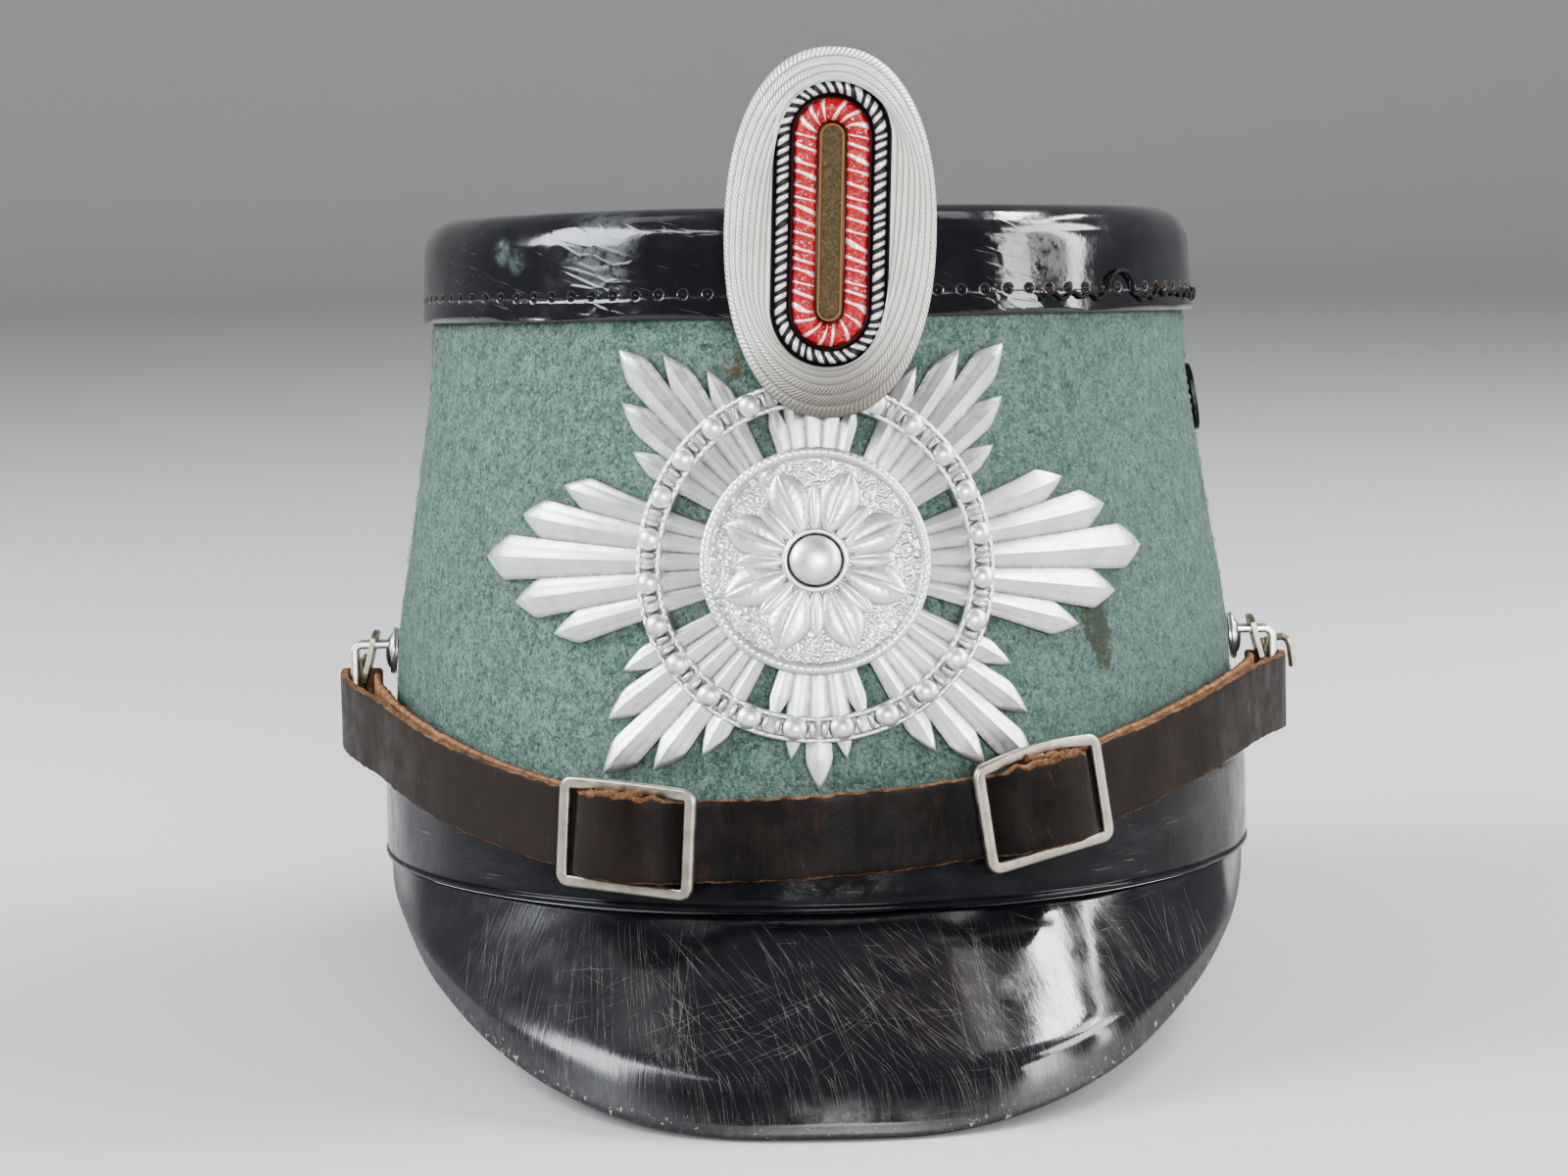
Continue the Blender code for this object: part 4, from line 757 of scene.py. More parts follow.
def leather_finish():
    paint = Paint("strap_leather")
    place, flat = paint.place(), paint.flat()
    flesh = paint.value("flesh")
    patchy = paint.noise(place, 14, 5, 0.65)
    across = paint.noise(paint.scaled(flat, 1, 0.10, 1), 0.8, 4, 0.7)
    fine = paint.noise(place, 0.7, 4, 0.7)
    dark, light = (0.0028, 0.0024, 0.0022), (0.0120, 0.0086, 0.0072)
    paint.colour = paint.mixed(paint.between(patchy, 0.38, 0.66), dark, light)
    paint.tint(paint.between(across, 0.50, 0.70, 0, 0.35), (0.019, 0.012, 0.009))
    paint.tint(paint.between(across, 0.30, 0.44, 0.5, 0), (0.003, 0.003, 0.003))
    paint.tint(paint.clouds(paint.scaled(flat, 1, 0.35, 1), 6, 5, 0.7, 0.56, 0.70), (0.040, 0.012, 0.008), 0.45)
    sideways = paint.part(place, "X")
    left = paint.from_to(sideways, -58, -20, 0.85, 0.0)
    right = paint.from_to(sideways, 30, 60, 0.0, 0.45)
    paint.tint(paint.most(left, right), (0.024, 0.0185, 0.0155))
    streaks = paint.scaled(paint.turned(flat, 0.25), 1, 0.06, 1)
    scratches = paint.scratches(streaks, 0.45, 0.70, 0.75, paint.between(patchy, 0.48, 0.60))
    nick = paint.times(paint.between(fine, 0.68, 0.75), paint.between(patchy, 0.5, 0.6))
    paint.tint(paint.most(nick, scratches), (0.15, 0.095, 0.06), 0.55)
    raw = paint.mixed(paint.between(fine, 0.35, 0.65), (0.060, 0.026, 0.012), (0.19, 0.095, 0.045))
    pale = paint.times(paint.value("upper"), paint.clouds(place, 2.2, 5, 0.75, 0.42, 0.62))
    raw = paint.mixed(pale, raw, (0.25, 0.14, 0.08))
    rag = paint.plus(paint.value("edge"), paint.times(paint.noise(place, 5, 5, 0.75), 0.62))
    worn_edge = paint.between(rag, 1.12, 1.36)
    paint.tint(worn_edge, raw, 0.85)
    suede = paint.clouds(place, 1.6, 5, 0.75, 0.3, 0.7)
    paint.tint(flesh, paint.mixed(suede, (0.13, 0.062, 0.032), (0.36, 0.20, 0.115)))
    paint.rough = paint.clouds(place, 5, 4, 0.6, 0.3, 0.7, 0.40, 0.55)
    paint.roughen(paint.most(flesh, worn_edge), 0.88)
    paint.raised(across, 0.05)
    paint.raised(fine, 0.06)
    return paint.finish(Specular_IOR_Level=0.13)


def metal_finish(name, pale, dull, rough_low, rough_high, tarnish=(0.12, 0.10, 0.075)):
    """Worn metal: pale where rubbed, duller in patches, with small dark spots."""
    paint = Paint(name)
    place = paint.place()
    patchy = paint.noise(place, 4, 5, 0.65)
    fine = paint.noise(place, 0.5, 4, 0.7)
    paint.colour = paint.mixed(paint.between(patchy, 0.35, 0.68), pale, dull)
    paint.tint(paint.times(paint.between(fine, 0.62, 0.71), paint.between(patchy, 0.42, 0.6)), tarnish, 0.7)
    paint.rough = paint.clouds(place, 2, 4, 0.6, 0.3, 0.7, rough_low, rough_high)
    paint.raised(fine, 0.02)
    return paint.finish(Metallic=1.0)


def plate_finish():
    """Satin cast metal, darker in its hollows."""
    paint = Paint("plate_metal")
    place = paint.place()
    patchy = paint.noise(place, 6, 4, 0.6)
    fine = paint.noise(place, 0.35, 3, 0.7)
    paint.colour = paint.mixed(paint.between(patchy, 0.35, 0.7), (0.80, 0.80, 0.80), (0.66, 0.66, 0.665))
    soot = paint.times(paint.value("hollow"), paint.clouds(place, 1.3, 4, 0.7, 0.25, 0.65, 0.45, 1.0))
    paint.tint(soot, (0.15, 0.15, 0.15), 0.85)
    paint.rough = paint.clouds(place, 1.5, 4, 0.6, 0.3, 0.7, 0.34, 0.46)
    grains = paint.between(paint.cells(place, 0.85, "SMOOTH_F1"), 0.1, 0.75, 1.0, 0.0)
    paint.raised(paint.times(paint.value("stipple"), grains), 0.32)
    paint.raised(fine, 0.035)
    return paint.finish(Metallic=0.92)


def silver_cord_finish():
    paint = Paint("silver_cord")
    place = paint.place()
    patchy = paint.clouds(place, 7, 4, 0.6, 0.35, 0.7)
    paint.colour = paint.mixed(patchy, (0.96, 0.955, 0.935), (0.86, 0.85, 0.82))
    # painted shade and tarnish: the rim is darker and browner towards its lower end
    paint.tint(paint.from_to(paint.part(place, "Z"), 89, 111, 0.95, 0.0), (0.135, 0.12, 0.095))
    paint.tint(paint.value("hollow"), (0.13, 0.115, 0.09), 0.9)
    paint.raised(paint.noise(place, 0.25, 2, 0.6), 0.02)
    return paint.finish(Roughness=0.42, Metallic=0.5)


def ring_finish(name, base, dark, ribs_colour, speck_share):
    """A coloured cord with raised silver ribs, and silver specks between them."""
    paint = Paint(name)
    place = paint.place()
    paint.colour = paint.mixed(paint.clouds(place, 0.8, 3, 0.7, 0.35, 0.65), base, dark)
    # painted shade: the cord's hollows get a darker copy of its own colour
    paint.tint(paint.value("hollow"), tuple(part * 0.25 for part in dark), 0.6)
    specks = paint.between(paint.noise(place, 0.55, 3, 0.8, 0.6), 0.60, 0.66)
    silver = paint.plus(paint.value("rib"), paint.times(paint.noise(place, 0.6, 4, 0.7), 0.5))
    silver = paint.most(paint.between(silver, 0.66, 0.82), paint.times(specks, speck_share))
    paint.tint(silver, ribs_colour)
    paint.raised(paint.noise(place, 0.3, 3, 0.7), 0.05)
    return paint.finish(Roughness=paint.blend(silver, 0.5, 0.36), Metallic=paint.times(silver, 0.75))


def centre_finish():
    paint = Paint("gold_centre")
    grains = paint.noise(paint.place(), 0.5, 4, 0.8)
    paint.colour = paint.mixed(paint.between(grains, 0.35, 0.65), (0.036, 0.023, 0.007), (0.105, 0.070, 0.025))
    paint.tint(paint.between(grains, 0.62, 0.72), (0.30, 0.22, 0.10))
    paint.tint(paint.value("rib"), (0.27, 0.135, 0.045), 0.8)
    paint.raised(grains, 0.12)
    return paint.finish(Roughness=0.62, Metallic=0.25)


def thread_finish():
    paint = Paint("stitching_thread")
    fine = paint.noise(paint.place(), 0.3, 3, 0.7)
    paint.colour = paint.mixed(paint.between(fine, 0.4, 0.7), (0.003, 0.003, 0.004), (0.013, 0.013, 0.014))
    paint.raised(fine, 0.06)
    return paint.finish(Roughness=0.7, Specular_IOR_Level=0.25)


def crack_finish():
    """The pale edges of fine cracks in lacquer."""
    paint = Paint("peak_cracks")
    patchy = paint.clouds(paint.place(), 5, 4, 0.7, 0.38, 0.62)
    paint.colour = paint.mixed(patchy, (0.05, 0.047, 0.043), (0.28, 0.27, 0.245))
    return paint.finish(Roughness=0.5, Specular_IOR_Level=0.3)


# ---------------------------------------------------------------- crown, cap and band


def felt_fibres():
    """Fine fibres that lie on the felt, each a thin three-sided thread with closed ends."""
    rng = np.random.default_rng(4)

    def drawn(low, high):
        return rng.uniform(low, high, FIBRES)

    start, side, up, outward = crown_frame(drawn(-math.pi, math.pi), drawn(BAND.height, CAP.low))
    heading = drawn(0, 2 * math.pi)[:, None]
    along = side * np.cos(heading) + up * np.sin(heading)
    aside = np.cross(outward, along)
    length, lift = drawn(1.0, 3.2)[:, None] * MM, drawn(0.15, 0.55)[:, None] * MM
    bend = drawn(-0.35, 0.35)[:, None] * length
    sunk = outward * 0.1 * MM
    middle = start + along * length * 0.5 + outward * lift + aside * bend
    line = [start - sunk, middle, start + along * length - sunk]
    thick = drawn(0.03, 0.05)[:, None] * MM
    ring = [
        point + thick * size * (aside * math.cos(angle) + outward * math.sin(angle))
        for point, size in zip(line, (0.7, 1.0, 0.7))
        for angle in full_turn(3)
    ]
    pattern = [[0, 2, 1], [6, 7, 8]]
    for row in (0, 3):
        for step, after in ((0, 1), (1, 2), (2, 0)):
            pattern.append([row + step, row + after, row + 3 + after, row + 3 + step])
    faces = [[corner + 9 * i for corner in face] for i in range(FIBRES) for face in pattern]
    corners = sum(len(face) for face in pattern) * FIBRES
    return Patch(np.stack(ring, 1).reshape(-1, 3), faces, np.zeros((corners, 2)))


def add_felt_crown():
    outer = np.stack([np.zeros(60), np.linspace(FELT.top, FELT.low, 60)], -1)
    inner = np.stack([np.full(20, -FELT.wall), np.linspace(FELT.low, FELT.top, 20)], -1)
    wall = wall_round_crown(np.concatenate([outer, inner]), 288, (0.10, 24, 1), (0.04, 7, 2))
    piece("felt_crown_look", [wall, felt_fibres()], felt_finish(), "felt_crown")


def add_top_cap():
    """The cap as one closed skin: ceiling, inside, lip, side with its row of holes, rounded edge and deck."""
    columns = HOLE_COUNT * 14
    turns = np.linspace(-math.pi, math.pi, columns, endpoint=False)
    inner_radius = CAP.edge - CAP.wall
    inside = arc((GAP - inner_radius, CAP.top - CAP.wall - inner_radius), inner_radius, 90, 0, 4)
    lip = [
        (GAP, CAP.low + 0.4 * MM), (GAP + 0.4 * MM, CAP.low),
        (CAP_OUT - 0.45 * MM, CAP.low), (CAP_OUT - 0.13 * MM, CAP.low + 0.13 * MM),
    ]
    levels = np.concatenate([[110.05, 111.0], np.arange(112.5, 116.3, 0.26), [117.5, 119.5, 121.6]]) * MM
    side = np.stack([np.full(len(levels), CAP_OUT), levels], -1)
    edge = arc((CAP_OUT - CAP.edge, CAP.top - CAP.edge), CAP.edge, 0, 90, 10)
    out, height = np.concatenate([inside, lip, side, edge]).T[..., None] * np.ones(columns)
    points = crown_point(turns, height, out)
    deck_shares = (0.94, 0.84, 0.66, 0.42, 0.16)
    deck = [points[-1] * (share, share, 1) for share in deck_shares]
    ceiling = [points[0] * (share, share, 1) for share in deck_shares[::-2]]
    points = np.concatenate([ceiling, points, deck])
    heights = np.concatenate([np.full(len(ceiling), CAP.top), height[:, 0], np.full(len(deck), CAP.top)])
    side_start = len(ceiling) + len(inside) + len(lip)
    row = np.arange(len(heights))
    on_side = (row >= side_start) & (row < side_start + len(side))

    around = turns / (2 * math.pi) * HOLE_COUNT * HOLE.pitch
    true_size = 2 * math.pi * 85 * MM / (HOLE_COUNT * HOLE.pitch)  # the cap's girth over that of its flat pattern
    to_hole = (np.mod(around / HOLE.pitch + 0.5, 1) - 0.5) * HOLE.pitch * true_size
    distance = np.hypot(to_hole[None, :], (heights - HOLE.height)[:, None])
    dent = HOLE.depth * smoothstep(distance, HOLE.radius * 1.15, HOLE.radius * 0.55)
    rim = 0.02 * MM * bump_at(distance, HOLE.radius * 1.5, HOLE.radius * 0.7) * (heights < HOLE.height)[:, None]
    groove = 0.10 * MM * bump_at(heights, CAP.score, 0.4 * MM)[:, None]
    out = (rim - dent - groove) * on_side[:, None]
    bulge = uneven(points, (0.12, 32, 5), (0.02, 11, 6)) * (row >= side_start)[:, None]
    away = unit(points - (0, 0, CAP.top - 30 * MM))
    points = points + away * bulge[..., None] + unit(points * (1, 1, 0)) * out[..., None]
    flat = lattice(heights, np.append(around, -around[0]))[..., ::-1]
    skin = solid(points, flat, wrap_columns=True, caps=True)
    piece("top_cap_look", [skin], cap_finish(), "top_cap")


def rope(path, side, up, radius, pitch):
    """A thread of two plies along a path, closed at its ends."""
    around = full_turn(8)
    twist = 2 * around - 2 * math.pi * running_length(path)[:, None] / pitch
    size = radius * (1 + 0.22 * np.cos(twist))[..., None]
    ring = size * (np.cos(around)[:, None] * side[:, None] + np.sin(around)[:, None] * up[:, None])
    return solid(path[:, None] + ring, wrap_columns=True, caps=True)


def add_cap_thread():
    """The loose thread along the cap's holes, from the front right round to the back, with one loop up."""
    (first, last), (loop_start, loop_end) = THREAD_ENDS, THREAD_LOOP
    angle = np.concatenate([np.linspace(first, loop_start, 130), np.linspace(loop_start, last, 870)])
    rng = np.random.default_rng(9)
    over_holes = 2 * math.pi * angle / (360 / HOLE_COUNT)
    height = 112.9 + 0.55 * np.sin(over_holes + 0.6) + 0.35 * np.sin(2 * math.pi * angle / 11.3)
    height = height + 0.35 * np.interp(angle, np.linspace(32, 129, 40), rng.normal(size=40))
    out = CAP_OUT + THREAD_RADIUS * 0.8 + 0.25 * MM * (1 + np.sin(over_holes)) / 2
    rise = np.linspace(0, math.pi, 60)[1:-1]
    middle = (loop_start + loop_end) / 2
    loop = [
        middle - (middle - loop_start) * np.cos(rise),
        113.0 + 4.6 * np.sin(rise) ** 0.9,
        CAP_OUT + 0.4 * MM + 0.5 * MM * np.sin(rise),
    ]
    before, after = angle < loop_start, angle > loop_end
    angle, height, out = (
        np.concatenate([row[before], arch, row[after]]) for row, arch in zip((angle, height, out), loop)
    )
    for _ in range(6):
        height[1:-1] = (height[:-2] + 2 * height[1:-1] + height[2:]) / 4
    path = crown_point(np.radians(angle), height * MM, out)
    forward = unit(np.gradient(path, axis=0))
    side = unit(np.cross(forward, path * (1, 1, 0)))
    threads = [rope(path, side, np.cross(side, forward), THREAD_RADIUS, 1.5 * MM)]
    for place, height, lean, length in LOOSE_PLIES:
        start, aside, up, outward = crown_frame(math.radians(place), height * MM, CAP_OUT + 0.5 * MM)
        share = np.linspace(0, 1, 14)[:, None]
        heading = aside * math.cos(lean) + up * math.sin(lean)
        line = start + length * MM * (share * heading + outward * 0.4 * share**2)
        axes = (np.tile(axis, (14, 1)) for axis in (np.cross(outward, aside), outward))
        threads.append(rope(line, *axes, 0.2 * MM, 1.0 * MM))
    piece("cap_stitching", threads, thread_finish())


def add_base_band():
    outer, top = BAND.outer, BAND.height
    middle = BAND.lip_height / 2
    lip = arc((outer - 0.2 * MM, middle), (BAND.lip + 0.2 * MM, middle), -90, 90, 9)
    side = [(outer, height * MM) for height in (1.7, 2.6, 4.5, 7, 9.5, 12, 14.5, 17, 18.8)]
    seam = [(0.14, 1.2), (0.0, 0.9), (0.05, 0.3), (0.4, 0.0)]  # in from the side and down from the top, mm
    seam = [(outer - inward * MM, top - down * MM) for inward, down in seam]
    inner = [(GAP, height) for height in (top, 13 * MM, 7 * MM)]
    wall = wall_round_crown(np.array([(GAP, 0.0), *lip, *side, *seam, *inner]), 300, (0.10, 28, 11))
    piece("base_band_look", [wall], band_finish(), "base_band")


# ---------------------------------------------------------------- peaks


BAND_HALF, BAND_FRONT = (float(reach) + BAND.outer for reach in section_at(0.0)[:2])


def peak_edge(peak, turn):
    """The free edge. turn runs from -90 degrees at one corner to +90 at the other."""
    along = np.maximum(np.cos(turn), 0.0) ** EDGE_ALONG_POWER
    worn = np.maximum(np.cos(np.maximum(np.abs(turn), REST_TURN)), 0.0) ** EDGE_ALONG_POWER
    across = np.sign(turn) * np.abs(np.sin(turn)) ** EDGE_ACROSS_POWER
    out = peak.corner_out + (peak.tip_out - peak.corner_out) * along
    drop = peak.corner_drop + (peak.tip_drop - peak.corner_drop) * worn
    return np.stack([peak.half_width * across, peak.facing * out, -drop], -1)


def peak_surface(peak, turn, along):
    """Points of the upper face, turn across and along from the band (0) to the free edge (1)."""
    half_width, half_length = BAND_HALF - PEAK.inset, BAND_FRONT - PEAK.inset
    end = peak_edge(peak, turn)
    angle = np.arctan2(end[..., 0] / half_width, -end[..., 1] / half_length)
    start = crown_point(angle, np.zeros_like(angle), BAND.outer - PEAK.inset)
    start[..., 2] = -GAP
    chord = end - start
    rise = unit(start * (1 / half_width**2, 1 / half_length**2, 0)) + (0, 0, 1)
    length = np.linalg.norm(chord, axis=-1, keepdims=True)
    lift = unit(rise - chord * np.sum(rise * chord, axis=-1, keepdims=True) / length**2)
    along = np.asarray(along)[..., None]
    return start + chord * along + lift * peak.arch * length * peak_rise(along)


def peak_rise(along):
    """Rise over the chord: an even slope, then a rounded shoulder down into a narrow border."""
    steep, softness = 5.0, 0.17
    slope, border = along * 1.30, (1 - along) * steep
    return -softness * np.log(np.exp(-slope / softness) + np.exp(-border / softness) - np.exp(-steep / softness))


def peak_skin(peak, turn, along):
    """Points of the upper face as worn, slightly uneven, and the directions straight out from them."""
    step = 0.003
    across = peak_surface(peak, turn + step, along) - peak_surface(peak, turn - step, along)
    down = peak_surface(peak, turn, along + step) - peak_surface(peak, turn, along - step)
    normal = unit(np.cross(across, down) * peak.facing)
    points = peak_surface(peak, turn, along)
    return points + normal * uneven(points, (0.16, 38, 21), (0.012, 12, 22))[..., None], normal


def peak_patch(peak, columns, rows):
    """A peak with a rounded free rim. worn runs from 0 well inside to 1 at the rim."""
    share = np.linspace(-1, 1, columns)
    turn = (math.pi / 2 - 0.004) * np.sign(share) * np.abs(share) ** 0.92
    turn, along = np.meshgrid(turn, np.linspace(0, 1, rows), indexing="ij")
    top, normal = peak_skin(peak, turn, along)
    radius = PEAK.wall / 2
    to_rim = np.linalg.norm(top - top[:, -1:], axis=-1)
    keep = np.maximum(1 - radius / np.maximum(to_rim[:, :1], 1e-9), 0.2)
    top, normal = peak_skin(peak, turn, along * keep)
    to_rim = np.linalg.norm(top - top[:, -1:], axis=-1)
    ahead = unit(top[:, -1] - top[:, -2])
    down = -normal[:, -1]
    core = top[:, -1] + down * radius
    turns = np.radians(np.linspace(90, -90, 9))[1:-1]
    rim = [core + radius * (ahead * math.cos(t) - down * math.sin(t)) for t in turns]
    under = top[:, ::-1] - normal[:, ::-1] * PEAK.wall
    points = np.concatenate([top, np.stack(rim, 1), under], axis=1)
    worn = smoothstep(to_rim, 7 * MM, 0.3 * MM)
    worn = np.concatenate([worn, np.ones((columns, len(rim))), worn * 0], axis=1)
    spread = running_length(top[:, rows // 2])
    spread = spread - spread[len(spread) // 2]
    reach = running_length(top[columns // 2])
    round_rim = np.linspace(reach[-1], reach[-1] + 3 * MM, len(rim))
    reach = np.concatenate([reach, round_rim, reach[::-1] + 200 * MM, [400 * MM]])
    flat = lattice(spread, reach).transpose(1, 0, 2)
    return solid(points.transpose(1, 0, 2), flat, wrap_rows=True, caps=True, worn=worn.T)


def hairline_routes(peak):
    """Wandering lines on a peak's upper face: rows of (turn, along), and a radius for each line."""
    rng = np.random.default_rng(12)
    turns = np.linspace(-1.55, 1.55, 241)
    alongs = np.linspace(0, 1, 61)
    table = peak_surface(peak, turns[:, None], alongs[None, :] * np.ones((241, 1)))
    lengths = np.linalg.norm(table[:, -1] - table[:, 0], axis=-1)
    step = HAIRLINE_STEP * MM
    for count, left, right, low, high, lean, spread, short, long in HAIRLINES:
        for _ in range(count):
            across, along = rng.uniform(left, right) * MM, rng.uniform(low, high)
            heading = rng.normal(lean, spread) + 0.10 * math.sin(across / (7 * MM))
            radius = rng.uniform(0.017, 0.033) * MM
            route = []
            for _ in range(int(rng.triangular(short, short, long) / HAIRLINE_STEP) + 2):
                turn = np.interp(across, table[:, int(along * 60), 0], turns)
                route.append((turn, along))
                across += step * math.sin(heading)
                along += step * math.cos(heading) / np.interp(turn, turns, lengths)
                heading = heading * (0.86 if along > 0.76 else 1.0) + rng.normal(0, 0.018)
                if not 0.012 < along < 0.972 or abs(turn) > 1.5:
                    break
            if len(route) > 3:
                yield np.array(route), radius


def hairlines(peak):
    """Fine raised crack edges. Each is a closed three-sided thread that runs out at both ends."""
    patches = []
    for route, radius in hairline_routes(peak):
        path, normal = peak_skin(peak, route[:, 0], route[:, 1])
        side = unit(np.cross(np.gradient(path, axis=0), normal))
        size = radius * (0.35 + 0.65 * np.sin(math.pi * np.linspace(0, 1, len(path))) ** 0.5)[:, None]
        ring = [path + size * (side * math.sin(t) + normal * math.cos(t)) for t in full_turn(3)]
        flat = np.zeros((len(path), 4, 2))
        patches.append(solid(np.stack(ring, 1), flat, wrap_columns=True, caps=True))
    return patches


def add_peaks():
    looks = peak_finish()
    piece("front_peak_cracks", hairlines(FRONT_PEAK), crack_finish())
    piece("front_peak_look", [peak_patch(FRONT_PEAK, 220, 60)], looks, "front_peak")
    piece("rear_peak_look", [peak_patch(REAR_PEAK, 160, 30)], looks, "rear_peak")


# ---------------------------------------------------------------- strap and sliders


def strap_line():
    """Turns round the band, the length along it at each, and the turn and length of the strap's folds."""
    turns = np.radians(np.linspace(-120, 120, 961))
    lengths = running_length(crown_point(turns, np.zeros(961), BAND.outer))
    lengths = lengths - np.interp(0.0, turns, lengths)
    fold_angle = math.acos(STRAP.fold_depth / BAND_FRONT)
    return turns, lengths, fold_angle, float(np.interp(fold_angle, turns, lengths))


STRAP_TURNS, STRAP_LENGTHS, FOLD_ANGLE, FOLD_PLACE = strap_line()


def strap_height(place):
    """Height of the strap's middle line at distances along it from the front."""
    angle = np.clip(np.interp(place, STRAP_LENGTHS, STRAP_TURNS), -FOLD_ANGLE, FOLD_ANGLE)
    share = np.abs(angle) / math.radians(90)
    rise = share**3 * (6 * share**2 - 15 * share + 10)
    return STRAP.low + STRAP.rise * rise + STRAP.skew * np.sin(2 * angle)


def strap_frame(place, out):
    """Points of the strap with their forward, across and outward directions."""
    angle = np.interp(place, STRAP_LENGTHS, STRAP_TURNS)
    level = np.zeros_like(angle)
    forward = unit(np.stack([BAND_HALF * np.cos(angle), BAND_FRONT * np.sin(angle), level], -1))
    outward = np.stack([forward[..., 1], -forward[..., 0], level], -1)
    step = 2 * MM
    slope = np.arctan2(strap_height(place + step) - strap_height(place - step), 2 * step)[..., None]
    up = np.array([0.0, 0.0, 1.0])
    across = up * np.cos(slope) - forward * np.sin(slope)
    along = forward * np.cos(slope) + up * np.sin(slope)
    point = crown_point(angle, level, BAND.outer) + outward * np.asarray(out)[..., None]
    point[..., 2] = strap_height(place)
    return point, along, across, outward


def strap_half(side):
    """Route on one side, from the end at the slider, round the fold, to past the slider again."""
    tail, inner, arch = (np.array(route) * MM for route in (TAIL_ROUTE, INNER_ROUTE, ARCH_ROUTE))
    slider = (abs(SLIDER_PLACES[side]), 0.0)
    clear = STRAP.thick / 2 + 1.1 * GAP
    bar = [
        arc((-SLIDER.bar / 2, SLIDER.out + edge), clear, first, first + 90, 4)
        for edge, first in ((SLIDER.thick / 2, 90), (-SLIDER.thick / 2, 180))
    ]
    middle = STRAP.inner_run + STRAP.fold_radius
    fold = arc((FOLD_PLACE, middle), STRAP.fold_radius, -90, 90, 13)
    share = np.linspace(0.8, 0.0, 5)
    splay_out = STRAP.outer_run + (middle + STRAP.fold_radius - STRAP.outer_run) * smoothstep(share, 0, 1)
    splay = np.stack([FOLD_PLACE - STRAP.splay * (1 - share), splay_out], -1)
    route = [np.concatenate([tail, *bar, inner]) + slider, fold, splay, arch + slider]
    return np.concatenate(route) * (SIDES[side], 1)


def smooth_line(points, step):
    """A line with its corners cut twice, at even steps."""
    line = points
    for _ in range(2):
        near, far = line[:-1] * 0.75 + line[1:] * 0.25, line[:-1] * 0.25 + line[1:] * 0.75
        line = np.concatenate([line[:1], np.stack([near, far], 1).reshape(-1, 2), line[-1:]])
    length = running_length(line)
    even = np.linspace(0, length[-1], int(length[-1] / step) + 1)
    return np.stack([np.interp(even, length, column) for column in line.T], -1)


def add_chin_strap():
    """The strap with its edges nibbled, and torn upwards where it arches over the sliders."""
    line = smooth_line(np.concatenate([strap_half("left"), strap_half("right")[::-1]]), 0.8 * MM)
    path, _, across, _ = strap_frame(line[:, 0], line[:, 1])
    face = unit(np.cross(across, unit(np.gradient(path, axis=0))))
    if face[len(path) // 2, 1] > 0:
        face = -face
    half_wide = STRAP.width / 2
    section = rounded_box(STRAP.width, STRAP.thick, 0.55 * MM, 0.9 * MM, 3)
    off_middle = np.abs(section[:, 0])
    length = running_length(path)
    rng = np.random.default_rng(14)
    drift = np.interp(length, np.linspace(0, length[-1], 60), rng.normal(size=60))
    wave = uneven(path, (0.10, 16, 15)) + 0.05 * MM * drift
    points = swept(path, across, face, section) + face[:, None] * wave[:, None, None]
    nibble = uneven(points, (0.09, 3.2, 16)) * (off_middle > half_wide - 0.9 * MM)
    points = points + across[:, None] * (nibble * np.sign(section[:, 0]))[..., None]
    edge = smoothstep(off_middle, half_wide - 1.5 * MM, half_wide - 0.15 * MM)[None, :]
    upper = smoothstep(section[:, 0], half_wide - 2.2 * MM, half_wide - 0.3 * MM)[None, :]
    torn = np.zeros(len(line))
    for name, place in SLIDER_PLACES.items():
        beside = smoothstep(np.abs(line[:, 0] - place), 8.6 * MM, 5.4 * MM) * (line[:, 1] > SLIDER.out + 0.1 * MM)
        torn += beside * (0.95 * MM + 0.62 * SLIDER_BOW[name])
    ragged = torn * (1 + 0.22 * rough_waves(path, 2.6, 17))
    ragged = ragged[:, None] * upper * (1 + 0.10 * rough_waves(points, 1.2, 18))
    points = points + across[:, None] * ragged[..., None]
    masks = {
        "edge": edge + upper * smoothstep(torn, 0.0, 0.6 * MM)[:, None] * 0.35,
        "upper": smoothstep(section[:, 0], half_wide - 0.7 * MM, half_wide - 0.2 * MM)[None, :],
        "flesh": (section[:, 1] < -0.25 * MM)[None, :],
    }
    flat = lattice(length, running_length(closed_row(section)))
    strip = solid(points, flat, wrap_columns=True, caps=True, **masks)
    piece("chin_strap_look", [strip], leather_finish(), "chin_strap")


def add_slider(side, material):
    """A frame of rounded flat bar with a middle bar."""
    wide, high = SLIDER.width - SLIDER.rim, SLIDER.height - SLIDER.rim
    bow = SLIDER_BOW[side]
    outline = rounded_box(wide, high, SLIDER.corner - SLIDER.rim / 2 + 0.5 * MM, 1.0 * MM, 6)
    outline[:, 1] += bow * np.cos(math.pi * np.clip(outline[:, 0] / wide, -0.5, 0.5)) * (outline[:, 1] > 0)
    path = at_height(outline, 0.0)
    forward = unit(np.roll(path, -1, axis=0) - np.roll(path, 1, axis=0))
    up = np.tile([0.0, 0.0, 1.0], (len(path), 1))
    section = rounded_box(SLIDER.rim, SLIDER.thick, 0.6 * MM, 0.8 * MM)
    loop = sweep(path, np.cross(forward, up), up, section, closed=True)
    y = np.linspace(-high / 2, high / 2 + bow - 0.4 * MM, 12)
    bar_side = np.tile([1.0, 0.0, 0.0], (12, 1))
    bar = sweep(np.stack([0 * y, y, 0 * y], -1), bar_side, up[:12], section * (SLIDER.bar / SLIDER.rim, 0.92))
    place = frame_matrix(*strap_frame(np.array(SLIDER_PLACES[side]), np.array(SLIDER.out)))
    name = side + "_slider"
    piece(name + "_look", [loop.moved(place), bar.moved(place)], material, name)


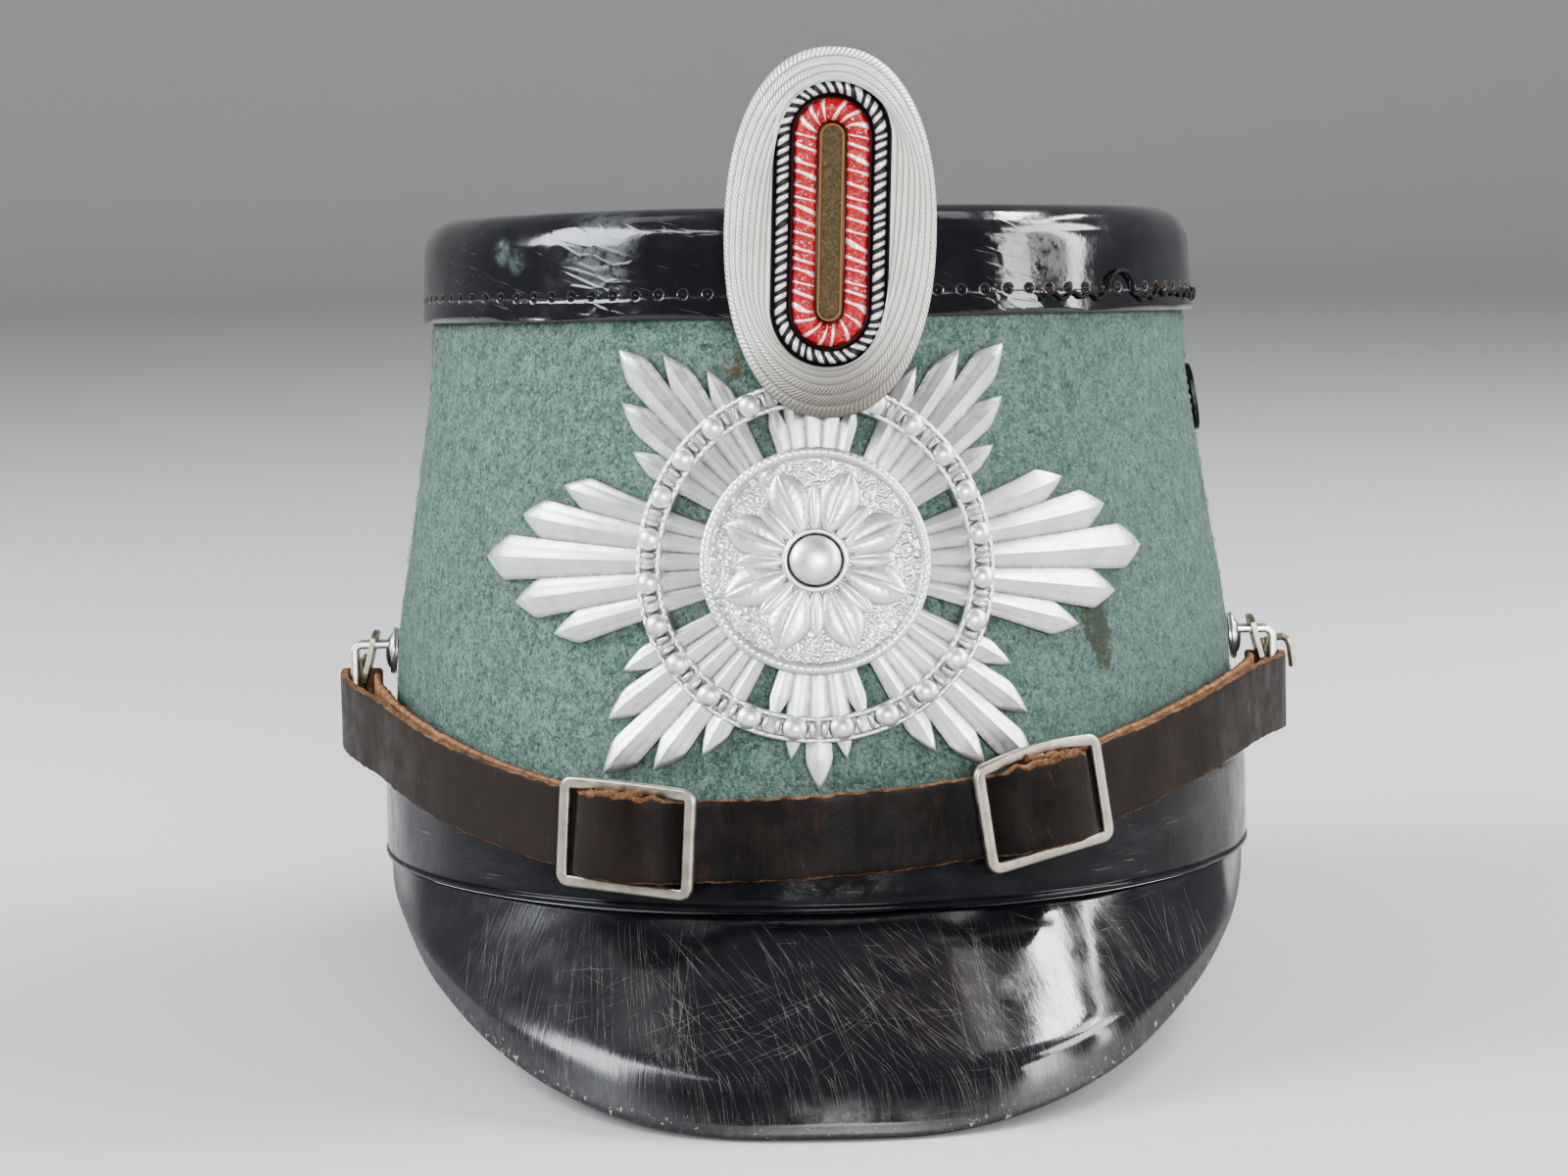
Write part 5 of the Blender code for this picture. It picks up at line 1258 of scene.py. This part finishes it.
# ---------------------------------------------------------------- hooks


def add_hook(side, material):
    """A domed rosette on the felt, with a tongue that reaches out and bends down."""
    sign = SIDES[side]
    angle = math.acos(-HOOK.back / float(section_at(HOOK.height)[1])) * sign
    place = frame_matrix(*crown_frame(angle, HOOK.height, GAP))
    edge, thick = HOOK.rosette_edge, HOOK.rosette_thick
    dome = arc((0, edge), (HOOK.rosette * 0.78, thick - edge), 90, 0, 12)
    rim = arc((HOOK.rosette * 0.9, 0.75 * MM), 0.5 * MM, 120, -60, 8)
    profile = [(0.05 * MM, thick), *dome[1:], *rim, (HOOK.rosette * 0.96, 0.0), (0.05 * MM, 0.0)]
    rosette = turned(profile, 48).moved(place)

    root = abs(float(crown_frame(angle, HOOK.height, GAP + 0.5 * MM)[0][0]))
    half = HOOK.thick / 2
    corner = (HOOK.reach - HOOK.bend, HOOK.top - HOOK.bend)
    level = [(x, HOOK.top - half) for x in np.linspace(root, corner[0], 10)]
    drop = [(HOOK.reach - half, z) for z in np.linspace(corner[1], HOOK.low, 16)[1:]]
    x, z = np.concatenate([level, arc(corner, HOOK.bend - half, 81, 0, 10), drop]).T
    path = np.stack([sign * x, np.full(len(x), HOOK.back), z], -1)
    wide = np.tile([0.0, 1.0, 0.0], (len(path), 1))
    up = np.cross(wide, unit(np.gradient(path, axis=0)))
    section = rounded_box(HOOK.width, HOOK.thick, 0.5 * MM, 0.8 * MM)
    to_end = running_length(path)[-1] - running_length(path)
    taper = 0.45 + 0.55 * np.sqrt(np.clip(1 - (1 - np.clip(to_end / (3.2 * MM), 0, 1)) ** 2, 0, 1))
    arm = sweep(path, wide, up, section, taper=taper)
    piece(side + "_hook_look", [rosette, arm], material, side + "_hook", sharp=50)


def dress_node(name, material, bevel_width=0.0):
    """Gives a solid that is shown as it is a finish and softened edges."""
    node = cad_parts[name]
    node.data.materials.clear()
    node.data.materials.append(material)
    if bevel_width:
        edges = node.modifiers.new("edges", "BEVEL")
        edges.width = bevel_width
        edges.segments = 3
        edges.limit_method = "ANGLE"
        edges.angle_limit = math.radians(35)
        edges.harden_normals = False


# ---------------------------------------------------------------- front plate


def bent(patch):
    """Wraps a flat patch round the front of the crown: X becomes arc length and Z the distance out."""
    turns = np.radians(np.linspace(-80, 80, 641))
    arcs = running_length(crown_point(turns, np.full(641, PLATE.middle)))
    arcs = arcs - np.interp(0.0, turns, arcs)
    x, y, z = patch.points.T
    patch.points = crown_frame(np.interp(x, arcs, turns), PLATE.middle + y, PLATE.out + z)[0]
    return patch


def ray_group(heading):
    """A fan of rays with hollow flanks that meet in sharp ridges, and pointed ends."""
    reach = RAY.slant
    if abs(math.cos(heading)) > 0.99:
        reach = RAY.level
    elif abs(math.sin(heading)) > 0.99:
        reach = RAY.upright
    across = np.linspace(-0.985, 0.985, 13)
    ray = np.repeat(np.arange(RAYS_IN_GROUP) - (RAYS_IN_GROUP - 1) / 2, len(across))
    across = np.tile(across, RAYS_IN_GROUP)
    turns = heading + (ray + across / 2) * RAY_SPACING
    off = np.abs(across)
    lengths = reach * (1 - RAY_SHORTER * np.abs(ray))
    share = np.linspace(0, 1, 34)[:, None]
    radius = RAY.root + (lengths - RAY.point * off - RAY.root) * share
    to_tip = np.clip((lengths - radius) / (RAY.point * 1.1), 0, 1)
    crest = RAY.crest * smoothstep(radius, RAY.root - 30 * MM, RAY.root + 14 * MM)
    crest = (crest - RAY.valley) * (0.35 + 0.65 * to_tip)
    flutes = 0.5 + 0.5 * np.cos(off * 2 * math.pi * 2.5)
    height = RAY.valley + crest * ((1 - off) ** 1.25 + 0.10 * flutes * (off > 0.15))
    height = height - 0.35 * MM * smoothstep(share, 0.975, 1.0)
    under = np.zeros((3, len(turns)))
    under[0] = height[-1] * 0.5
    radius, height = np.concatenate([radius, radius[[-1, -1, 0]]]), np.concatenate([height, under])
    points = np.stack([radius * np.cos(turns), radius * np.sin(turns), height], -1)
    hollow = np.concatenate([off**5 * np.ones_like(share), np.ones((3, len(turns)))])
    return solid(points, wrap_rows=True, caps=True, hollow=hollow)


def bead(centre):
    polar = np.linspace(0.06, math.pi * 0.86, 10)
    patch = turned(np.stack([np.sin(polar), np.cos(polar)], -1) * RING.bead, 20)
    patch.values["hollow"] = smoothstep(patch.points[:, 2] / RING.bead, 0.62, 0.12)
    patch.points = patch.points + centre
    return patch


def reel(turn):
    """A thin disc that stands on edge across the ring."""
    polar = np.radians(np.linspace(4, 176, 9))
    patch = turned(np.stack([RING.reel * np.sin(polar) ** 0.7, 0.5 * MM * np.cos(polar)], -1), 20)
    patch.values["hollow"] = smoothstep(patch.points[:, 0] / RING.reel, 0.8, 0.2)
    forward = Vector((-math.sin(turn), math.cos(turn), 0))
    outward = Vector((math.cos(turn), math.sin(turn), 0))
    origin = outward * RING.radius + Vector((0, 0, RING.high - 0.55 * MM))
    return patch.moved(frame_matrix(origin, (0, 0, 1), outward, forward))


def beaded_ring():
    """A ring with a roped fillet at each edge, and beads with a pair of thin reels between them."""
    inner, outer = RING.radius - RING.width / 2, RING.radius + RING.width / 2
    fillets = [arc((centre, 1.8 * MM), (RING.fillet, 0.75 * MM), 170, 10, 7)
               for centre in (inner + RING.fillet, outer - RING.fillet)]
    floor = [(RING.radius - 0.6 * MM, 1.75 * MM), (RING.radius + 0.6 * MM, 1.75 * MM)]
    profile = [(inner, 0.0), (inner, 1.2 * MM), *fillets[0], *floor, *fillets[1], (outer, 1.2 * MM), (outer, 0.0)]
    on_fillet = [0.8, 0.2, 0.0, 0.0, 0.0, 0.2, 0.8]
    hollow = [1.0, 0.8, *on_fillet, 1.0, 1.0, *on_fillet, 0.6, 1.0]

    def roped(radius, height, turns):
        return 0.10 * MM * np.cos(turns * 120 + (radius - inner) * 1500) * smoothstep(height, 1.9 * MM, 2.4 * MM)

    patches = [turned(profile, 720, closed=True, raised=roped, hollow=np.array(hollow)[:, None])]
    for i in range(BEADS):
        heading = 2 * math.pi * (i + 0.5) / BEADS
        x, y = RING.radius * math.cos(heading), RING.radius * math.sin(heading)
        patches.append(bead((x, y, RING.high - BEAD_SINK)))
        patches += [reel(2 * math.pi * (i + 1 + nudge) / BEADS) for nudge in (-0.135, 0.135)]
    return patches


def petal(heading, length, width, crest):
    """A pointed petal with cupped halves and a thin rib along its middle."""
    along = np.linspace(0.0, 1.0, 26)[:, None]
    across = np.linspace(-1, 1, 25)[None, :]
    off = np.abs(across)
    half = width / 2 * np.maximum(np.sin(math.pi * along**1.25), 0) ** 0.75 + 0.02 * MM
    x = PETAL.root + length * along * np.ones_like(across)
    swell = np.sin(math.pi * along**1.1) ** 0.6
    cupped = 1 - off**2.2 - 0.30 * (1 - off) ** 2
    rib = 0.34 * np.exp(-((across / 0.10) ** 2))
    veins = 0.05 * np.cos(2 * math.pi * (along * 9 - off * 1.6)) * (off < 0.88)
    height = DISC.high + 0.15 * MM + crest * swell * (cupped + rib + veins)
    top = np.stack([x, half * across, height], -1)
    low = np.stack([x, half * across * 0.98, np.full_like(x, DISC.high - 0.3 * MM)], -1)
    points = np.concatenate([top, low[:, ::-1]], axis=1)
    deep = np.maximum(smoothstep(off, 0.78, 1.0), 0.55 * bump_at(off, 0.24, 0.14)) * np.ones_like(along)
    hollow = np.concatenate([deep, np.ones_like(x)], axis=1)
    patch = solid(points, wrap_columns=True, caps=True, hollow=hollow)
    return patch.moved(Matrix.Rotation(heading, 4, "Z"))


def disc_patches():
    """A stippled disc with a raised rim, a rosette of petals and a boss."""
    inner, half_rim = DISC.radius - DISC.rim, DISC.rim / 2
    rim_high = DISC.rim_high - DISC.high
    rows = [(0.1 * MM, DISC.high, 0.4, 0)]  # radius, height, hollow, stipple
    rows += [(radius, DISC.high, 0.4, 1) for radius in np.linspace(5 * MM, inner - 0.3 * MM, 18)]
    for degrees in np.linspace(165, 0, 10):
        (x, y), = arc((DISC.radius - half_rim, DISC.high), (half_rim, rim_high), degrees, degrees, 1)
        rows.append((x, y, 0.0 if 20 < degrees < 150 else 0.7, 0))
    rows = np.array(rows + [(DISC.radius, 0.0, 1, 0), (0.1 * MM, 0.0, 1, 0)])

    def notched(radius, height, turns):
        on_rim = smoothstep(height, DISC.high + 0.5 * MM, DISC.rim_high)
        return 0.10 * MM * on_rim * np.cos(turns * 96 + (radius - inner) * 2200)

    masks = {"hollow": rows[:, 2:3], "stipple": rows[:, 3:]}
    disc = turned(rows[:, :2], 480, closed=True, raised=notched, **masks)
    polar = np.radians(np.linspace(2, 90, 14))
    boss_edge = DISC.boss * 0.9
    dome_height = DISC.high + (DISC.boss_high - DISC.high) * np.maximum(np.cos(polar), 0) ** 0.9
    dome = np.stack([DISC.boss * 0.8 * np.sin(polar), dome_height], -1)
    collar = arc((boss_edge, DISC.high + 0.7 * MM), DISC.collar, 150, -60, 9)
    foot = DISC.high - 0.4 * MM
    boss = turned([*dome, *collar, (boss_edge, foot), (0.1 * MM, foot)], 72)
    flank = np.hypot(boss.points[:, 0], boss.points[:, 1]) / DISC.boss
    boss.values["hollow"] = bump_at(flank, 0.80, 0.10)
    patches = [disc, boss]
    for i in range(PETALS):
        patches.append(petal(2 * math.pi * (i + 0.5) / PETALS, PETAL.length, PETAL.width, PETAL.crest))
        patches.append(petal(2 * math.pi * i / PETALS, PETAL.length * 0.72, PETAL.width * 0.5, PETAL.crest * 0.6))
    return patches


def add_front_plate():
    patches = [ray_group(heading) for heading in full_turn(RAY_GROUPS)] + beaded_ring() + disc_patches()
    patches = [bent(patch) for patch in patches]
    piece("front_plate_look", patches, plate_finish(), "front_plate", sharp=38)


# ---------------------------------------------------------------- cockade


COCKADE_STAND = (
    Matrix.Translation(COCKADE_PLACE)
    @ Matrix.Rotation(COCKADE_TURN, 4, "Y")
    @ Matrix.Rotation(math.pi / 2, 4, "X")
)


def slot_line(radius, steps, even_at=None):
    """Points round a slot with round ends, at even steps on the slot of radius even_at, or on its own."""
    turns = full_turn(4000) + 0.0003
    heading = np.stack([np.cos(turns), np.sin(turns)], -1)
    spine = np.stack([0 * turns, COCKADE.lift + COCKADE.straight * np.sign(np.sin(turns))], -1)
    measured = spine + heading * (even_at or radius)
    return evenly(closed_row(measured), closed_row(spine + heading * radius), steps)


def oval_line(half_x, half_y, steps):
    turns = np.linspace(0, 2 * math.pi, 4001)
    c, s = np.cos(turns), np.sin(turns)
    size = (np.abs(c) ** COCKADE_POWER + np.abs(s) ** COCKADE_POWER) ** (-1 / COCKADE_POWER)
    line = np.stack([half_x * size * c, half_y * size * s], -1)
    return evenly(line, line, steps)


def add_cockade_rim():
    """An oval dish covered with concentric twisted cords, each laid the other way from its neighbour."""
    steps, samples = RIM_STRANDS * 6, 8
    outer = oval_line(COCKADE.half_x, COCKADE.half_y, steps)
    inner = slot_line(BLACK_CORD.outer + GAP, steps)
    share = np.arange(RIM_CORDS * samples + 1) / samples
    cord = np.minimum(np.floor(share), RIM_CORDS - 1)
    local = (share - cord) * 2 - 1
    inward = share / RIM_CORDS
    hump = np.sqrt(np.clip(1 - local**2, 0, 1))
    run = np.arange(steps)[:, None] / steps
    lean = np.where(cord % 2 == 0, 1.0, -1.0)
    strand = np.cos(2 * math.pi * (run * RIM_STRANDS + 0.42 * lean * local))
    dish = np.interp(inward, *DISH.T) * MM
    height = dish + (0.46 + 0.19 * strand) * hump * MM - 0.1 * MM
    tops = outer[:, None] + (inner - outer)[:, None] * inward[None, :, None]
    top = np.concatenate([tops, height[..., None]], -1)
    floor_in = at_height(inner, COCKADE.floor)[:, None]
    middle = floor_in * (0.04, 0.04, 1)
    under = at_height(outer * 0.97, 0.0)[:, None]
    points = np.concatenate([middle * (1, 1, 0), under, top, floor_in, middle], axis=1)
    deep = np.maximum(np.clip(1.2 - hump * 1.5, 0, 1), 0.9 * smoothstep(strand, 0.0, -1.0))
    hollow = np.pad(deep, ((0, 0), (2, 2)), constant_values=1.0)
    rim = solid(points.transpose(1, 0, 2), wrap_columns=True, caps=True, hollow=hollow.T).moved(COCKADE_STAND)
    piece("cockade_rim_look", [rim], silver_cord_finish(), "cockade_rim")


def cord_ring(cord, ribs, rib_share, lean, rib_high, relief, per_rib, short):
    """A half-round cord laid round the slot, with raised ribs across it."""
    steps = ribs * per_rib
    turn = np.linspace(0, math.pi, 22)
    middle, half = (cord.inner + cord.outer) / 2, (cord.outer - cord.inner) / 2
    low = COCKADE.floor + GAP
    run = math.pi * np.arange(steps)[:, None] / steps
    across = -np.cos(turn)
    shift = 0.13 * np.sin(14 * run) + 0.09 * np.sin(34 * run + 1) + 0.07 * np.sin(62 * run)
    phase = np.mod(run / math.pi * ribs + lean * across + shift + 0.5, 1) - 0.5
    rib = smoothstep(np.abs(phase), rib_share / 2 + 0.05, rib_share / 2 - 0.05)
    rib = rib * smoothstep(np.abs(across), short + 0.07, short - 0.07)
    twist = 0.5 + 0.5 * np.cos(2 * math.pi * phase)
    base = np.stack([slot_line(middle + half * a, steps, middle) for a in across], 1)
    body = (cord.top - low - rib_high - relief) * (0.3 + 0.7 * np.sin(turn))
    height = low + body + (rib_high * rib + relief * twist) * np.sin(turn)
    top = np.concatenate([base, height[..., None]], -1)
    under = [at_height(slot_line(radius, steps, middle), low)[:, None] for radius in (cord.outer, cord.inner)]
    points = np.concatenate([top, *under], axis=1)
    hollow = np.clip(1 - np.sin(turn) * 1.6, 0, 1) + 0.6 * (1 - twist) * (1 - rib)
    masks = {
        "rib": np.pad(rib, ((0, 0), (0, 2))).T,
        "hollow": np.pad(np.clip(hollow, 0, 1), ((0, 0), (0, 2)), constant_values=1.0).T,
    }
    ring = solid(points.transpose(1, 0, 2), wrap_rows=True, wrap_columns=True, **masks)
    return ring.moved(COCKADE_STAND)


def add_cockade_rings():
    black = cord_ring(BLACK_CORD, 66, 0.52, -0.45, 0.22 * MM, 0.30 * MM, 12, short=0.70)
    look = ring_finish("black_cord", (0.012, 0.012, 0.016), (0.006, 0.006, 0.008), (0.74, 0.74, 0.73), 0.0)
    piece("cockade_black_ring_look", [black], look, "cockade_black_ring")
    red = cord_ring(RED_CORD, 42, 0.26, 0.30, 0.28 * MM, 0.22 * MM, 16, short=0.93)
    look = ring_finish("red_cord", (0.58, 0.008, 0.010), (0.30, 0.003, 0.005), (0.86, 0.78, 0.77), 0.85)
    piece("cockade_red_ring_look", [red], look, "cockade_red_ring")


def add_cockade_centre():
    """A slot-shaped pad with a raised rim."""
    steps = 220
    rows = [(0.0, COCKADE.floor + GAP - COCKADE.centre_top, 0)]  # in from the side, height over the pad's top, rim
    rows += [(0.0, -0.1 * MM, 1), (0.15 * MM, 0.1 * MM, 1), (0.45 * MM, 0.05 * MM, 0.8), (0.6 * MM, -0.25 * MM, 0)]
    rows += [(COCKADE.centre - radius * MM, -0.3 * MM, 0) for radius in (1.2, 0.6, 0.05)]
    line = [
        at_height(slot_line(COCKADE.centre - inward, steps, COCKADE.centre), COCKADE.centre_top + over)
        for inward, over, _ in rows
    ]
    rim = np.array([row[2] for row in rows])[:, None]
    pad = solid(np.stack(line), wrap_columns=True, caps=True, rib=rim).moved(COCKADE_STAND)
    piece("cockade_centre_look", [pad], centre_finish(), "cockade_centre")


# ---------------------------------------------------------------- light and camera


def soft_light(name, azimuth, elevation, distance, width, height, power, colour):
    """An area light aimed at the hat. Azimuth 0 is the camera's side and 90 degrees the viewer's right."""
    turn, rise = math.radians(azimuth), math.radians(elevation)
    offset = Vector((math.sin(turn) * math.cos(rise), -math.cos(turn) * math.cos(rise), math.sin(rise)))
    data = bpy.data.lights.new(name, "AREA")
    data.shape = "RECTANGLE"
    data.size, data.size_y = width, height
    data.energy = power
    data.color = colour
    light = bpy.data.objects.new(name, data)
    light.location = Vector((0, 0, 0.10)) + offset * distance
    light.rotation_euler = offset.to_track_quat("Z", "Y").to_euler()
    bpy.context.scene.collection.objects.link(light)


def add_lights():
    for row in LIGHTS:
        soft_light(*row)
    world = bpy.data.worlds.new("studio")
    world.use_nodes = True
    background = world.node_tree.nodes["Background"]
    background.inputs["Color"].default_value = (0.60, 0.61, 0.63, 1.0)
    background.inputs["Strength"].default_value = 0.48
    bpy.context.scene.world = world
    bpy.context.scene.view_settings.look = "AgX - Medium High Contrast"


def add_floor():
    """A pale floor that curves up all round into a low backdrop."""
    steps = 96
    curve = arc((STAGE_REACH, STAGE_CURVE), STAGE_CURVE, -90, 0, 16)
    rows = np.array([(0.01, 0.0), *curve, (STAGE_REACH + STAGE_CURVE, STAGE_HEIGHT)])
    around = full_turn(steps)
    radius, height = rows.T[..., None] * np.ones(steps)
    points = np.stack([radius * np.cos(around), radius * np.sin(around), height], -1)
    bowl = grid(points, np.zeros((len(rows), steps + 1, 2)), wrap_columns=True)
    bowl.faces.append(list(range(steps))[::-1])
    bowl.flat = np.concatenate([bowl.flat, np.zeros((steps, 2))])
    grey = Paint("floor").finish(Base_Color=(0.56, 0.56, 0.56), Roughness=0.8, Specular_IOR_Level=0.2)
    linked("floor", mesh_from("floor", [bowl]), grey)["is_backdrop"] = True


def add_camera():
    data = bpy.data.cameras.new("camera")
    data.lens = CAMERA_LENS
    data.sensor_width = 36
    data.clip_start = 0.01
    tilt = Matrix.Rotation(math.pi / 2 - CAMERA_DOWN, 4, "X") @ Matrix.Rotation(-CAMERA_ROLL, 4, "Z")
    camera = bpy.data.objects.new("camera", data)
    camera.matrix_world = HAT @ Matrix.Translation(CAMERA_PLACE) @ tilt
    bpy.context.scene.collection.objects.link(camera)
    bpy.context.scene.camera = camera


# ---------------------------------------------------------------- assembly


def build():
    add_felt_crown()
    add_top_cap()
    add_cap_thread()
    add_base_band()
    add_peaks()
    add_chin_strap()
    slider_metal = metal_finish("buckle_metal", (0.45, 0.42, 0.36), (0.33, 0.305, 0.25), 0.30, 0.46)
    hook_metal = metal_finish("hook_metal", (0.74, 0.735, 0.72), (0.60, 0.59, 0.565), 0.26, 0.42)
    tarnish = (0.06, 0.055, 0.035)
    clip_metal = metal_finish("clip_metal", (0.36, 0.345, 0.27), (0.24, 0.225, 0.165), 0.34, 0.5, tarnish)
    soot = (0.01, 0.01, 0.01)
    vent_metal = metal_finish("vent_metal", (0.035, 0.04, 0.037), (0.02, 0.023, 0.021), 0.4, 0.55, soot)
    for side in SIDES:
        add_slider(side, slider_metal)
        add_hook(side, hook_metal)
        dress_node(side + "_strap_clip", clip_metal, 0.2 * MM)
        dress_node(side + "_vent", vent_metal, 0.18 * MM)
    dress_node("cockade_prong", hook_metal)
    add_front_plate()
    add_cockade_rim()
    add_cockade_rings()
    add_cockade_centre()
    add_floor()
    add_lights()
    add_camera()


build()
bpy.context.view_layer.update()
cad, shown = ([[float(value) for value in corner] for corner in box] for box in (cad_box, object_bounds()))
